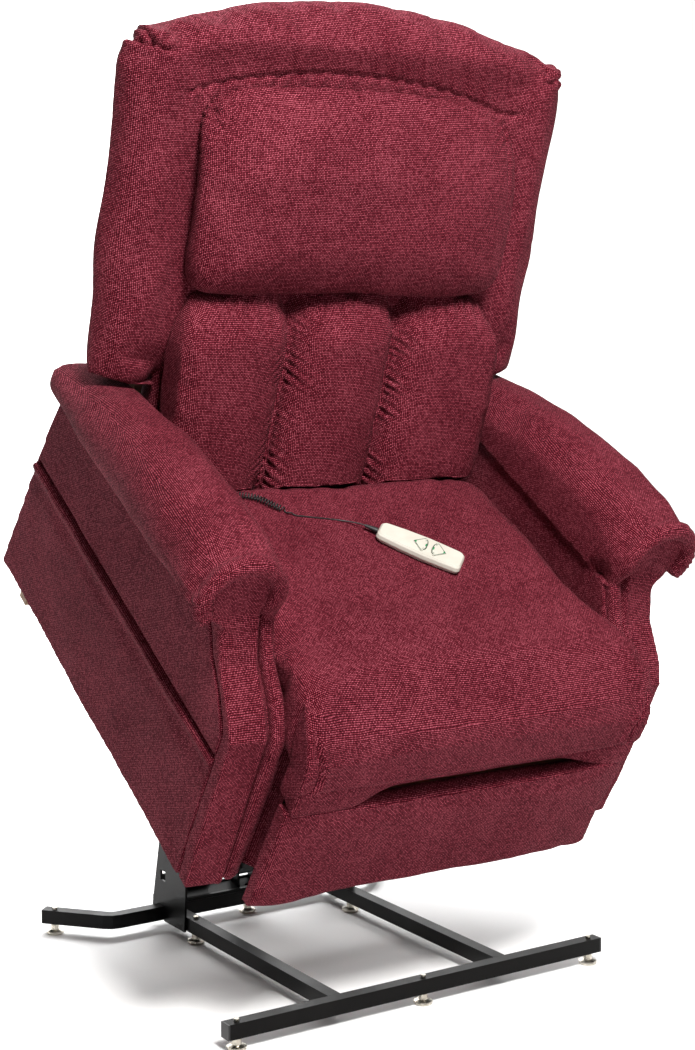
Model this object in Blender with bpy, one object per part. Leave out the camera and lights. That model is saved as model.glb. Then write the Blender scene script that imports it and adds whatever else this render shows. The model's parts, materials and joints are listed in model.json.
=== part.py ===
"""Lift recliner chair, modelled in the raised (lifted) position it is stored in.

Floor frame: +Z up, the chair faces -Y, the origin is under the centre front levelling foot.
Chair frame: the upholstered chair is drawn level in (x, u, v), with u rearwards and v up from the
bottom front edge of its side panels, and stands tilted by LIFT_TILT on the lift frame.
Back frame: the backrest is drawn in (x, t, s), with s up along the leaning back from its hinge.
"""
import math

import bmesh
import bpy
from mathutils import Matrix, Vector

GAP = 0.0003
ORIGIN = Vector((0.0, 0.0, 0.0))

# Driving dimensions, metres and degrees
LIFT_TILT = math.radians(32.5)
CHAIR_ORIGIN = Vector((0.0, 0.040, 0.2387))
BACK_HINGE = Vector((0.0, 0.60, 0.24))
BACK_LEAN = math.radians(16.45)

HALF_WIDTH = 0.400
SEAT_HALF = 0.303
NOSE_HALF = 0.316
SIDE_LENGTH = 0.772
SEAM_HEIGHT = 0.234
SEAT_TOP = 0.366
ARM_INNER = 0.308
ARM_OUTER = 0.452
ARM_EDGE = [(0.130, ARM_OUTER), (0.300, ARM_OUTER), (0.520, 0.436), (0.745, 0.414)]

TUBE_W = 0.022
TUBE_LOW = 0.019
TUBE_HIGH = 0.043
TUBE_WALL = 0.002
FRONT_HALF = 0.3535
SIDE_TUBE_X = 0.159
REAR_TUBE_Y = 0.548
REAR_END = Vector((0.354, 0.644))
REAR_BEND_X = 0.270

BRACKET_X = 0.171
BRACKET_T = 0.004
LIFT_PIVOT = Vector((0.0, 0.500, 0.255))
GUIDE_PIVOT = Vector((0.0, 0.440, 0.190))
ACTUATOR_PIVOT = Vector((0.0, 0.560, 0.080))
LIFT_PIN_ON_CHAIR = Vector((0.0, 0.250, 0.030))
GUIDE_PIN_ON_CHAIR = Vector((0.0, 0.132, 0.019))
CRANK_RADIUS = 0.120
CRANK_OFFSET = math.radians(-15.0)
CROSS_TUBE_RADIUS = 0.158
CROSS_TUBE_OFFSET = math.radians(-12.0)
ARM_PLATE_X = 0.180
ARM_PLATE_T = 0.008
GUIDE_PLATE_X = 0.158
PIN_R = 0.008
PIN_CLEAR = 0.0004
RAIL_X = 0.195

FOOT_E = Vector((0.0, 0.200, 0.088))
FOOT_M = Vector((0.0, 0.040, 0.018))
FOOT_N = Vector((0.0, -0.006, 0.150))
FOOT_LINK_X = 0.262
FOOT_ROD_R = 0.006

HANDSET_PLACE = Vector((0.046, 0.285, SEAT_TOP + 0.0006))
HANDSET_TURN = math.radians(-134.4)
HANDSET_LENGTH = 0.143
HANDSET_WIDTH = 0.054
BUTTON_UP_Y = -0.0020
BUTTON_DOWN_Y = 0.0300
BUTTON_DEPTH = 0.0055
BUTTON_TRAVEL = 0.0012
RELIEF_LENGTH = 0.022
CORD_EXIT_Z = 0.0090
CORD_R = 0.0016
CURL_R = 0.0055

SEGMENTS = 16

MATERIALS = {
    "fabric": ((0.23, 0.030, 0.050), 0.9, 0.0),
    "steel": ((0.015, 0.015, 0.017), 0.35, 0.6),
    "plated": ((0.55, 0.54, 0.50), 0.3, 1.0),
    "wood": ((0.50, 0.36, 0.22), 0.7, 0.0),
    "black_plastic": ((0.02, 0.02, 0.02), 0.5, 0.0),
    "ivory_plastic": ((0.78, 0.76, 0.68), 0.4, 0.0),
}


# ---------------------------------------------------------------- scene helpers
def clear_scene():
    for obj in list(bpy.data.objects):
        bpy.data.objects.remove(obj)


def make_material(name, kind):
    colour, roughness, metallic = MATERIALS[kind]
    material = bpy.data.materials.new(name)
    material.use_nodes = True
    shader = material.node_tree.nodes["Principled BSDF"]
    shader.inputs["Base Color"].default_value = (*colour, 1.0)
    shader.inputs["Roughness"].default_value = roughness
    shader.inputs["Metallic"].default_value = metallic
    return material


class Frame:
    """An empty on a joint's axis.

    pivot is given in the parent's drawing; drawn_from is the same point in this frame's own drawing,
    so a piece drawn there lands where its coordinates say.
    """

    def __init__(self, name, pivot, parent=None, turn=(0.0, 0.0, 0.0), drawn_from=None):
        pivot = Vector(pivot)
        self.drawn_from = pivot if drawn_from is None else Vector(drawn_from)
        self.empty = bpy.data.objects.new(name, None)
        bpy.context.scene.collection.objects.link(self.empty)
        self.empty.rotation_euler = turn
        self.empty.location = pivot
        if parent is not None:
            self.empty.parent = parent.empty
            self.empty.location = pivot - parent.drawn_from

    def hold(self, obj):
        obj.parent = self.empty
        obj.location = obj.location - self.drawn_from


def chair_to_floor(point):
    turned = Matrix.Rotation(LIFT_TILT, 3, "X") @ Vector(point)
    return CHAIR_ORIGIN + turned


def new_object(name, mesh, kind, frame):
    obj = bpy.data.objects.new(name, mesh)
    bpy.context.scene.collection.objects.link(obj)
    mesh.materials.append(make_material(name + "_material", kind))
    frame.hold(obj)
    return obj


def mesh_from(bm, name):
    bmesh.ops.recalc_face_normals(bm, faces=bm.faces)
    mesh = bpy.data.meshes.new(name)
    bm.to_mesh(mesh)
    bm.free()
    return mesh


# ---------------------------------------------------------------- solid builders
def loft_mesh(name, rings):
    """A closed solid through rings of equal length, with flat end caps."""
    bm = bmesh.new()
    loops = [[bm.verts.new(point) for point in ring] for ring in rings]
    count = len(rings[0])
    for near, far in zip(loops, loops[1:]):
        for i in range(count):
            j = (i + 1) % count
            bm.faces.new((near[i], near[j], far[j], far[i]))
    bm.faces.new(loops[0])
    bm.faces.new(loops[-1])
    return mesh_from(bm, name)


def extrude_x(name, outline, x0, x1):
    """A prism whose outline is drawn in the two coordinates after x."""
    rings = [[(x, a, b) for a, b in outline] for x in (x0, x1)]
    return loft_mesh(name, rings)


def box_mesh(name, low, high):
    outline = [(low[1], low[2]), (high[1], low[2]), (high[1], high[2]), (low[1], high[2])]
    return extrude_x(name, outline, low[0], high[0])


def circle(centre, radius, count=SEGMENTS):
    return [
        (centre[0] + radius * math.cos(2 * math.pi * i / count),
         centre[1] + radius * math.sin(2 * math.pi * i / count))
        for i in range(count)
    ]


def hull_outline(circles, count=SEGMENTS):
    """The convex outline round several circles, for link plates."""
    points = sorted(p for centre, radius in circles for p in circle(centre, radius, count))

    def turn(o, a, b):
        return (a[0] - o[0]) * (b[1] - o[1]) - (a[1] - o[1]) * (b[0] - o[0])

    def half(ordered):
        chain = []
        for point in ordered:
            while len(chain) > 1 and turn(chain[-2], chain[-1], point) <= 1e-10:
                chain.pop()
            chain.append(point)
        return chain[:-1]

    return half(points) + half(points[::-1])


def drum_x(name, centre, radius, x0, x1, count=SEGMENTS):
    return extrude_x(name, circle(centre, radius, count), x0, x1)


def drum_z(name, centre, stations, count=SEGMENTS):
    """A turned solid about a vertical axis, from (z, radius) stations."""
    rings = []
    for z, radius in stations:
        rings.append([(x, y, z) for x, y in circle(centre, radius, count)])
    return loft_mesh(name, rings)


def mirror_x(mesh):
    mirrored = mesh.copy()
    bm = bmesh.new()
    bm.from_mesh(mirrored)
    for vert in bm.verts:
        vert.co.x = -vert.co.x
    bmesh.ops.reverse_faces(bm, faces=bm.faces)
    bm.to_mesh(mirrored)
    bm.free()
    return mirrored


def combine(obj, mesh, operation):
    """Join another closed mesh to a piece, or cut it out, with an exact Boolean."""
    tool = bpy.data.objects.new(obj.name + "_tool", mesh)
    bpy.context.scene.collection.objects.link(tool)
    tool.parent = obj.parent
    tool.location = obj.location
    tool.hide_render = True
    tool.display_type = "WIRE"
    modifier = obj.modifiers.new(operation.lower(), "BOOLEAN")
    modifier.operation = operation
    modifier.solver = "EXACT"
    modifier.object = tool


def round_edges(obj, width, segments=2):
    modifier = obj.modifiers.new("rounding", "BEVEL")
    modifier.width = width
    modifier.segments = segments
    modifier.limit_method = "ANGLE"
    modifier.angle_limit = math.radians(40)


def smooth(obj):
    obj.data.shade_smooth()
    obj.data.set_sharp_from_angle(angle=math.radians(35))


def pair(stem, mesh, kind, frame, extras=()):
    """A right-hand piece (+X) and its mirrored left-hand twin (-X), with Boolean extras on each."""
    pieces = []
    for side, shape in (("right", mesh), ("left", mirror_x(mesh))):
        obj = new_object(f"{stem}_{side}", shape, kind, frame)
        for extra, operation in extras:
            combine(obj, extra if side == "right" else mirror_x(extra), operation)
        pieces.append(obj)
    return pieces


# ---------------------------------------------------------------- floor frame
def foot_places():
    places = [(0.0, 0.0), (0.0, REAR_TUBE_Y)]
    for side in (-1, 1):
        places += [(side * 0.337, 0.0), (side * SIDE_TUBE_X, 0.449), (side * 0.341, 0.628)]
    return places


def box_tube(name, low, high, axis):
    """A square tube along one axis: a box with a smaller box cut through it."""
    outer = box_mesh(name, low, high)
    inner_low = [value + TUBE_WALL for value in low]
    inner_high = [value - TUBE_WALL for value in high]
    inner_low[axis] = low[axis] - 0.01
    inner_high[axis] = high[axis] + 0.01
    return outer, box_mesh(name + "_bore", inner_low, inner_high)


def foot_hole(place):
    return drum_z("foot_hole", place, [(0.010, 0.0046), (0.060, 0.0046)], 12)


def rear_tube_mesh():
    """The rear tube, whose ends splay rearwards past the lift brackets."""
    end = REAR_END
    splay = Vector((end.x - REAR_BEND_X, end.y - REAR_TUBE_Y)).normalized()
    half = TUBE_W / 2
    bend = 0.012
    stations = []
    start = Vector((REAR_BEND_X, REAR_TUBE_Y))
    stations.append((start - Vector((bend, 0)), Vector((0, 1))))
    middle = (Vector((1, 0)) + splay).normalized()
    corner = start + Vector((-0.002, 0.002))
    stations.append((corner, Vector((-middle.y, middle.x))))
    stations.append((start + splay * bend, Vector((-splay.y, splay.x))))
    stations.append((end, Vector((-splay.y, splay.x))))
    stations = [(Vector((-p.x, p.y)), Vector((-n.x, n.y))) for p, n in reversed(stations)] + stations
    rings = []
    for point, normal in stations:
        near = point - normal * half
        far = point + normal * half
        rings.append([
            (near.x, near.y, TUBE_LOW), (far.x, far.y, TUBE_LOW),
            (far.x, far.y, TUBE_HIGH), (near.x, near.y, TUBE_HIGH),
        ])
    return loft_mesh("rear_floor_tube", rings)


def build_floor_frame(floor):
    half = TUBE_W / 2
    low, high = [-FRONT_HALF, -half, TUBE_LOW], [FRONT_HALF, half, TUBE_HIGH]
    outer, bore = box_tube("front_floor_tube", low, high, 0)
    front = new_object("front_floor_tube", outer, "steel", floor)
    combine(front, bore, "DIFFERENCE")
    for place in foot_places():
        if place[1] == 0.0:
            combine(front, foot_hole(place), "DIFFERENCE")

    inside = half - TUBE_WALL - GAP
    cap_x = (FRONT_HALF + GAP, FRONT_HALF + 0.0035)
    cap = box_mesh("front_tube_cap", (cap_x[0], -half, TUBE_LOW), (cap_x[1], half, TUBE_HIGH))
    plug = box_mesh(
        "plug", (FRONT_HALF - 0.008, -inside, TUBE_LOW + TUBE_WALL + GAP),
        (FRONT_HALF + 0.002, inside, TUBE_HIGH - TUBE_WALL - GAP))
    pair("front_tube_cap", cap, "black_plastic", floor, [(plug, "UNION")])

    outer, bore = box_tube(
        "side_floor_tube", [SIDE_TUBE_X - half, half + GAP, TUBE_LOW],
        [SIDE_TUBE_X + half, REAR_TUBE_Y - half - GAP, TUBE_HIGH], 1)
    hole = foot_hole((SIDE_TUBE_X, 0.449))
    pair("side_floor_tube", outer, "steel", floor, [(bore, "DIFFERENCE"), (hole, "DIFFERENCE")])

    rear = new_object("rear_floor_tube", rear_tube_mesh(), "steel", floor)
    for place in foot_places():
        if place[1] > 0.5:
            combine(rear, foot_hole(place), "DIFFERENCE")

    build_lift_brackets(floor)
    build_actuator_mount(floor)


def build_lift_brackets(floor):
    half = TUBE_W / 2
    notch_front = REAR_TUBE_Y - half - GAP
    notch_rear = REAR_TUBE_Y + half + GAP
    notch_top = TUBE_HIGH + GAP
    outline = [
        (0.462, 0.017), (notch_front, 0.017), (notch_front, notch_top), (notch_rear, notch_top),
        (notch_rear, 0.017), (0.580, 0.017), (0.579, 0.040), (0.556, 0.140), (0.528, 0.262),
        (0.512, 0.274), (0.490, 0.274), (0.424, 0.206), (0.420, 0.182), (0.432, 0.166), (0.455, 0.120),
    ]
    plate = extrude_x("lift_bracket", outline, BRACKET_X, BRACKET_X + BRACKET_T)
    reach = (BRACKET_X - 0.01, BRACKET_X + BRACKET_T + 0.01)
    holes = []
    for pivot in (LIFT_PIVOT, GUIDE_PIVOT):
        hole = drum_x("pivot_hole", (pivot.y, pivot.z), PIN_R + PIN_CLEAR, *reach)
        holes.append((hole, "DIFFERENCE"))
    square = box_mesh("square_hole", (reach[0], 0.530, 0.089), (reach[1], 0.548, 0.107))
    holes.append((square, "DIFFERENCE"))
    pair("lift_bracket", plate, "steel", floor, holes)


def build_actuator_mount(floor):
    """A plate across the rear tube, between the brackets, with two ears for the actuator."""
    half_span = BRACKET_X - GAP
    low = TUBE_HIGH + GAP
    outline = [
        (0.538, low), (0.586, low), (0.586, 0.052), (0.575, 0.058), (0.5745, 0.090),
        (0.5715, 0.090), (0.5715, 0.056), (0.545, 0.049), (0.538, 0.049),
    ]
    bar = extrude_x("actuator_mount", outline, -half_span, half_span)
    plate = new_object("actuator_mount", bar, "steel", floor)
    window = box_mesh("window", (-0.062, 0.5675, 0.060), (0.030, 0.590, 0.095))
    combine(plate, window, "DIFFERENCE")
    combine(plate, foot_hole((0.0, REAR_TUBE_Y)), "DIFFERENCE")
    pivot = (ACTUATOR_PIVOT.y, ACTUATOR_PIVOT.z)
    for side in (-1, 1):
        ear_x = sorted((side * 0.016, side * 0.020))
        ear_outline = hull_outline([(pivot, 0.012), ((0.553, 0.0525), 0.008), ((0.566, 0.0525), 0.008)], 12)
        ear = extrude_x("ear", ear_outline, *ear_x)
        combine(plate, ear, "UNION")
        hole = drum_x("ear_hole", pivot, 0.0064, ear_x[0] - 0.002, ear_x[1] + 0.002, 12)
        combine(plate, hole, "DIFFERENCE")


def build_feet(floor):
    for index, place in enumerate(foot_places()):
        stations = [
            (0.0, 0.0135), (0.0030, 0.0155), (0.0055, 0.0150), (0.0080, 0.0075),
            (0.0110, 0.0070), (0.0165, 0.0070), (0.0166, 0.0042), (0.0470, 0.0042),
        ]
        name = f"levelling_foot_{index + 1}"
        frame = Frame(name + "_axis", (place[0], place[1], 0.0), floor, drawn_from=ORIGIN)
        foot = new_object(name, drum_z(name, (0.0, 0.0), stations, 12), "plated", frame)
        smooth(foot)


# ---------------------------------------------------------------- lift linkage
def lift_geometry():
    """Where the raised lift arm points, and what is fixed to it."""
    top = chair_to_floor(LIFT_PIN_ON_CHAIR)
    angle = math.atan2(top.z - LIFT_PIVOT.z, top.y - LIFT_PIVOT.y)

    def along(radius, offset):
        turn = angle + offset
        return (LIFT_PIVOT.y + radius * math.cos(turn), LIFT_PIVOT.z + radius * math.sin(turn))

    return top, along(CROSS_TUBE_RADIUS, CROSS_TUBE_OFFSET), along(CRANK_RADIUS, CRANK_OFFSET)


def build_lift_arms(frame):
    top, cross, crank = lift_geometry()
    low = (LIFT_PIVOT.y, LIFT_PIVOT.z)
    high = (top.y, top.z)
    plate = extrude_x(
        "lift_arm", hull_outline([(low, 0.016), (high, 0.014), (cross, 0.017)]),
        ARM_PLATE_X, ARM_PLATE_X + ARM_PLATE_T)
    middle = ARM_PLATE_X + ARM_PLATE_T / 2
    floor_pin = drum_x("floor_pin", low, PIN_R, BRACKET_X - 0.004, middle)
    chair_pin = drum_x("chair_pin", high, PIN_R, middle, RAIL_X + 0.007)
    pair("lift_arm", plate, "steel", frame, [(floor_pin, "UNION"), (chair_pin, "UNION")])

    end = ARM_PLATE_X - GAP
    tube = new_object("lift_cross_tube", drum_x("lift_cross_tube", cross, 0.0125, -end, end), "steel", frame)
    for side in (-1, 1):
        lug_x = sorted((side * 0.0145, side * 0.0195))
        lug = extrude_x("lug", hull_outline([(cross, 0.016), (crank, 0.011)], 12), *lug_x)
        combine(tube, lug, "UNION")


def build_guide_links(frame):
    top = chair_to_floor(GUIDE_PIN_ON_CHAIR)
    low = (GUIDE_PIVOT.y, GUIDE_PIVOT.z)
    plate = extrude_x(
        "guide_link", hull_outline([(low, 0.0125), ((top.y, top.z), 0.0125)]),
        GUIDE_PLATE_X, GUIDE_PLATE_X + ARM_PLATE_T)
    pin = drum_x("pin", low, PIN_R, GUIDE_PLATE_X + ARM_PLATE_T / 2, BRACKET_X + BRACKET_T + 0.0025)
    pair("guide_link", plate, "steel", frame, [(pin, "UNION")])


def actuator_direction():
    crank = lift_geometry()[2]
    reach = Vector((0.0, crank[0], crank[1])) - ACTUATOR_PIVOT
    return reach.normalized(), reach.length


def build_actuator(body_frame, rod_frame):
    """Drawn along +Z from the base pivot; the frames carry it to its raised slant."""
    length = actuator_direction()[1]
    tube_top = 0.186
    shell_steps = [(0.018, 0.0125), (0.022, 0.017), (tube_top, 0.017), (tube_top + 0.004, 0.0145)]
    shell = drum_z("actuator_tube", (0.0, 0.0), shell_steps)
    tube = new_object("actuator_tube", shell, "black_plastic", body_frame)
    eye = drum_x("eye", (0.0, 0.0), 0.0115, -0.0135, 0.0135)
    combine(tube, eye, "UNION")
    neck = box_mesh("neck", (-0.0095, -0.010, 0.004), (0.0095, 0.010, 0.021))
    combine(tube, neck, "UNION")
    pin = drum_x("pin", (0.0, 0.0), 0.0060, -0.0225, 0.0225, 12)
    combine(tube, pin, "UNION")
    bore = drum_z("bore", (0.0, 0.0), [(0.029, 0.0095), (tube_top + 0.02, 0.0095)])
    combine(tube, bore, "DIFFERENCE")
    smooth(tube)

    low, high = (-0.058, -0.020, 0.030), (-0.0175, 0.020, 0.150)
    motor = new_object("actuator_motor", box_mesh("actuator_motor", low, high), "black_plastic", body_frame)
    round_edges(motor, 0.008)

    bar = drum_z("actuator_rod", (0.0, 0.0), [(0.110, 0.0088), (length - 0.006, 0.0088)])
    rod = new_object("actuator_rod", bar, "plated", rod_frame)
    end = drum_x("rod_end", (0.0, length), 0.011, -0.0115, 0.0115)
    combine(rod, end, "UNION")
    smooth(rod)


# ---------------------------------------------------------------- chair underframe
def build_chassis(chair):
    wall = 0.0035
    rail_outline = [(0.060, 0.010), (0.5945, 0.010), (0.5945, 0.052), (0.060, 0.052)]
    rail = extrude_x("chassis_rail", rail_outline, RAIL_X, RAIL_X + wall)
    flange = box_mesh("flange", (RAIL_X + wall / 2, 0.060, 0.0485), (0.226, 0.5945, 0.052))
    hole = drum_x("hole", LIFT_PIN_ON_CHAIR.yz, PIN_R + PIN_CLEAR, RAIL_X - 0.01, RAIL_X + wall + 0.01)
    stub_from = GUIDE_PLATE_X + ARM_PLATE_T + 0.0007
    stub = drum_x("stub", GUIDE_PIN_ON_CHAIR.yz, 0.0085, stub_from, RAIL_X + wall / 2)
    ear_outline = hull_outline([(FOOT_E.yz, 0.013), ((0.180, 0.030), 0.010), ((0.220, 0.030), 0.010)], 12)
    ear = extrude_x("ear", ear_outline, RAIL_X + 0.0005, RAIL_X + wall - 0.0003)
    rod_hole = drum_x("rod_hole", FOOT_E.yz, FOOT_ROD_R + PIN_CLEAR, RAIL_X - 0.01, RAIL_X + wall + 0.01)
    pair("chassis_rail", rail, "steel", chair, [
        (flange, "UNION"), (ear, "UNION"), (hole, "DIFFERENCE"), (rod_hole, "DIFFERENCE"), (stub, "UNION")])

    cross_end = 0.3445
    for name, low_u, high_u, low_v in (
            ("chassis_front_rail", 0.222, 0.244, 0.0800), ("chassis_rear_rail", 0.5950, 0.6190, 0.0525)):
        low = (-cross_end, low_u, low_v)
        high = (cross_end, high_u, low_v + 0.024)
        new_object(name, box_mesh(name, low, high), "steel", chair)

    deck_half = 0.3445
    deck_rails = (("seat_deck_front_rail", 0.046, 0.080), ("seat_deck_rear_rail", 0.462, 0.496))
    for name, low_u, high_u in deck_rails:
        low = (-deck_half, low_u, 0.222)
        high = (deck_half, high_u, 0.2475)
        new_object(name, box_mesh(name, low, high), "wood", chair)
    build_seat_springs(chair)

    low = (0.035, 0.6195, 0.050)
    high = (0.150, 0.690, 0.092)
    box = new_object("control_box", box_mesh("control_box", low, high), "black_plastic", chair)
    inlet = box_mesh("inlet", (0.080, 0.680, 0.060), (0.105, 0.700, 0.080))
    combine(box, inlet, "DIFFERENCE")


def build_seat_springs(chair):
    """One serpentine of sinuous spring wire, hooked over both deck rails."""
    rows = 11
    span = 0.270
    front, rear, height = 0.060, 0.480, 0.2505
    bend = 0.010
    points = []
    for row in range(rows):
        x = -span + 2 * span * row / (rows - 1)
        ends = (front, rear) if row % 2 == 0 else (rear, front)
        inward = bend if ends[0] < ends[1] else -bend
        points += [(x, ends[0] + inward, height), (x, ends[1] - inward, height)]
        if row < rows - 1:
            step = 2 * span / (rows - 1)
            points += [(x + bend, ends[1], height), (x + step - bend, ends[1], height)]
    curve = bpy.data.curves.new("seat_springs", "CURVE")
    curve.dimensions = "3D"
    curve.bevel_depth = 0.0024
    curve.bevel_resolution = 0
    curve.render_resolution_u = 0
    curve.use_fill_caps = True
    spline = curve.splines.new("POLY")
    spline.points.add(len(points) - 1)
    for spot, point in zip(spline.points, points):
        spot.co = (*point, 1.0)
    new_object("seat_springs", curve, "plated", chair)


# ---------------------------------------------------------------- upholstered sides
def blend_line(table, at):
    """A value read off a few (position, value) points, eased between them."""
    for (a, va), (b, vb) in zip(table, table[1:]):
        if at <= b:
            share = (at - a) / (b - a)
            return va + (vb - va) * share
    return table[-1][1]


ARM_TOP = [(0.110, 0.500), (0.200, 0.522), (0.300, 0.527), (0.450, 0.508), (0.600, 0.466), (0.745, 0.424)]
FRONT_EDGE = [(0.0, 0.003), (0.013, 0.280), (0.040, 0.312), (0.092, 0.353), (0.130, 0.404)]


def arm_under(u):
    """The line under the arm's roll."""
    return 0.409 - (u - 0.13) * 0.0689


def build_sides(chair):
    inset = 0.030
    board = [(u + inset, max(v, 0.010)) for u, v in FRONT_EDGE[:-1]]
    board += [(0.160, arm_under(0.160) - 0.004), (0.700, arm_under(0.719) - 0.004), (0.740, 0.010)]
    frame = extrude_x("arm_frame", board, 0.345, 0.372)
    hinge_hole = drum_x("hinge_hole", BACK_HINGE.yz, PIN_R + PIN_CLEAR, 0.340, 0.357)
    pair("arm_frame", frame, "wood", chair, [(hinge_hole, "DIFFERENCE")])

    skin = [(u + 0.029, v) for u, v in FRONT_EDGE[:-1]]
    skin += [(0.160, arm_under(0.160) - 0.001), (0.719, arm_under(0.719) - 0.001)]
    skin += [(0.744, SEAM_HEIGHT), (SIDE_LENGTH, 0.003)]
    panel = extrude_x("side_panel", skin, 0.3725, HALF_WIDTH)
    groove = [
        (0.020, SEAM_HEIGHT - 0.006), (0.760, SEAM_HEIGHT + 0.003), (0.760, SEAM_HEIGHT + 0.007),
        (0.020, SEAM_HEIGHT - 0.002),
    ]
    seam = extrude_x("seam", groove, HALF_WIDTH - 0.006, HALF_WIDTH + 0.01)
    pair("side_panel", panel, "fabric", chair, [(seam, "DIFFERENCE")])
    build_arm_fronts(chair)
    build_arm_pads(chair)


def build_arm_fronts(chair):
    """The padded band up the front of each arm, ending in a round scroll."""
    thick = 0.0285
    outer = list(FRONT_EDGE)
    inner = [(u + thick, v) for u, v in reversed(FRONT_EDGE)]
    band = extrude_x("arm_front", outer + inner, 0.306, 0.402)
    cx, cv = 0.385, 0.4535
    scroll_outline = [(cx + 0.055 * c, cv + 0.052 * s) for c, s in circle((0, 0), 1.0, 20)]
    face, back = 0.113, 0.1355
    rings = []
    for u, scale in ((face, 0.90), (face + 0.006, 1.0), (back, 1.0)):
        rings.append([(cx + (x - cx) * scale, u, cv + (v - cv) * scale) for x, v in scroll_outline])
    scroll = loft_mesh("scroll", rings)
    inner_face = [
        (0.046, 0.268), (0.1595, 0.268), (0.1595, 0.398), (0.1355, 0.398), (0.098, 0.352), (0.060, 0.318),
    ]
    wrap = extrude_x("wrap", inner_face, 0.3065, 0.3415)
    throat = [(0.092, 0.354), (0.1135, 0.396), (0.1135, 0.440), (0.1355, 0.440), (0.1355, 0.378)]
    neck = extrude_x("neck", throat, 0.3385, 0.3985)
    pair("arm_front", band, "fabric", chair, [(neck, "UNION"), (scroll, "UNION"), (wrap, "UNION")])


def arm_section(u, slab_low):
    """One slice of the arm: the rolled top, with the padded inner face below it."""
    top = blend_line(ARM_TOP, u)
    under = arm_under(u)
    outer = blend_line(ARM_EDGE, u)
    middle_x = (ARM_INNER + outer) / 2
    half_w = (outer - ARM_INNER) / 2
    middle_v = (top + under) / 2
    half_h = (top - under) / 2
    section = []
    for step in range(11):
        angle = math.pi * (1.0 - step / 10 * 1.28)
        c, s = math.cos(angle), math.sin(angle)
        power = 0.72
        x = middle_x + half_w * math.copysign(abs(c) ** power, c)
        v = middle_v + half_h * math.copysign(abs(s) ** power, s)
        section.append((x, v))
    section.append((0.400, under))
    section.append((0.3415, under))
    section.append((0.3415, slab_low))
    section.append((ARM_INNER, slab_low))
    return section


def build_arm_pads(chair):
    deck = 0.268
    stations = [0.1365, 0.1600, 0.1605, 0.20, 0.28, 0.36, 0.44, 0.52, 0.565, 0.570, 0.65, 0.72, 0.742]
    rings = []
    for u in stations:
        low = deck if 0.1602 < u < 0.569 else arm_under(u) - 0.0015
        shrink = {0.1365: 0.985, 0.742: 0.94}.get(u, 1.0)
        middle = (ARM_INNER + ARM_OUTER) / 2
        ring = []
        for x, v in arm_section(u, low):
            ring.append((middle + (x - middle) * shrink, u, v - (1.0 - shrink) * 0.10 * (v > low + 0.08)))
        rings.append(ring)
    for obj in pair("arm_pad", loft_mesh("arm_pad", rings), "fabric", chair):
        smooth(obj)


def build_rear_panels(chair):
    low = (-0.3445, 0.742, 0.006)
    high = (0.3445, 0.764, 0.190)
    apron = new_object("rear_apron", box_mesh("rear_apron", low, high), "fabric", chair)
    round_edges(apron, 0.005)
    rail = box_mesh("rear_rest_rail", (-0.396, 0.664, -0.010), (0.396, 0.690, 0.0025))
    new_object("rear_rest_rail", rail, "wood", chair)


# ---------------------------------------------------------------- seat and footrest
SEAT_PROFILE = [
    (0.497, 0.2545), (0.497, 0.340), (0.485, 0.356), (0.460, 0.3625), (0.380, SEAT_TOP), (0.180, SEAT_TOP),
    (0.080, 0.364), (0.020, 0.358), (-0.020, 0.342), (-0.043, 0.315), (-0.055, 0.280), (-0.055, 0.240),
    (-0.044, 0.219), (-0.024, 0.208), (-0.008, 0.206), (-0.008, 0.2545),
]


def build_seat(chair):
    nose_rear = -0.0075
    rings = []
    steps = [NOSE_HALF, NOSE_HALF - 0.004, SEAT_HALF + 0.0006, SEAT_HALF, SEAT_HALF - 0.010]
    for x in [-value for value in steps] + steps[::-1]:
        wide = abs(x) > SEAT_HALF
        edge = {NOSE_HALF: 0.012, SEAT_HALF: 0.012}.get(abs(x), 0.0)
        middle_u, middle_v = (-0.030, 0.285) if wide else (0.22, 0.31)
        ring = []
        for u, v in SEAT_PROFILE:
            u_here = min(u, nose_rear) if wide else u
            v_here = min(v, 0.352) if wide else v
            pull = Vector((middle_u - u_here, middle_v - v_here))
            if edge and pull.length > edge:
                pull = pull.normalized() * edge
                u_here += pull.x * 0.5
                v_here += pull.y if v_here > 0.30 else 0.0
            ring.append((x, u_here, v_here))
        rings.append(ring)
    cushion = new_object("seat_cushion", loft_mesh("seat_cushion", rings), "fabric", chair)
    smooth(cushion)


def link_plates(name, ends, x0, frame, rods):
    """Two matching link plates joined by cross rods, drawn in the chair frame."""
    x1 = x0 + 0.005
    outline = hull_outline([(end, 0.0095) for end in ends], 12)
    obj = new_object(name, extrude_x(name, outline, x0, x1), "steel", frame)
    combine(obj, extrude_x("twin", outline, -x1, -x0), "UNION")
    for place, reach in rods:
        combine(obj, drum_x("rod", place, FOOT_ROD_R, -reach, reach, 10), "UNION")


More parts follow.
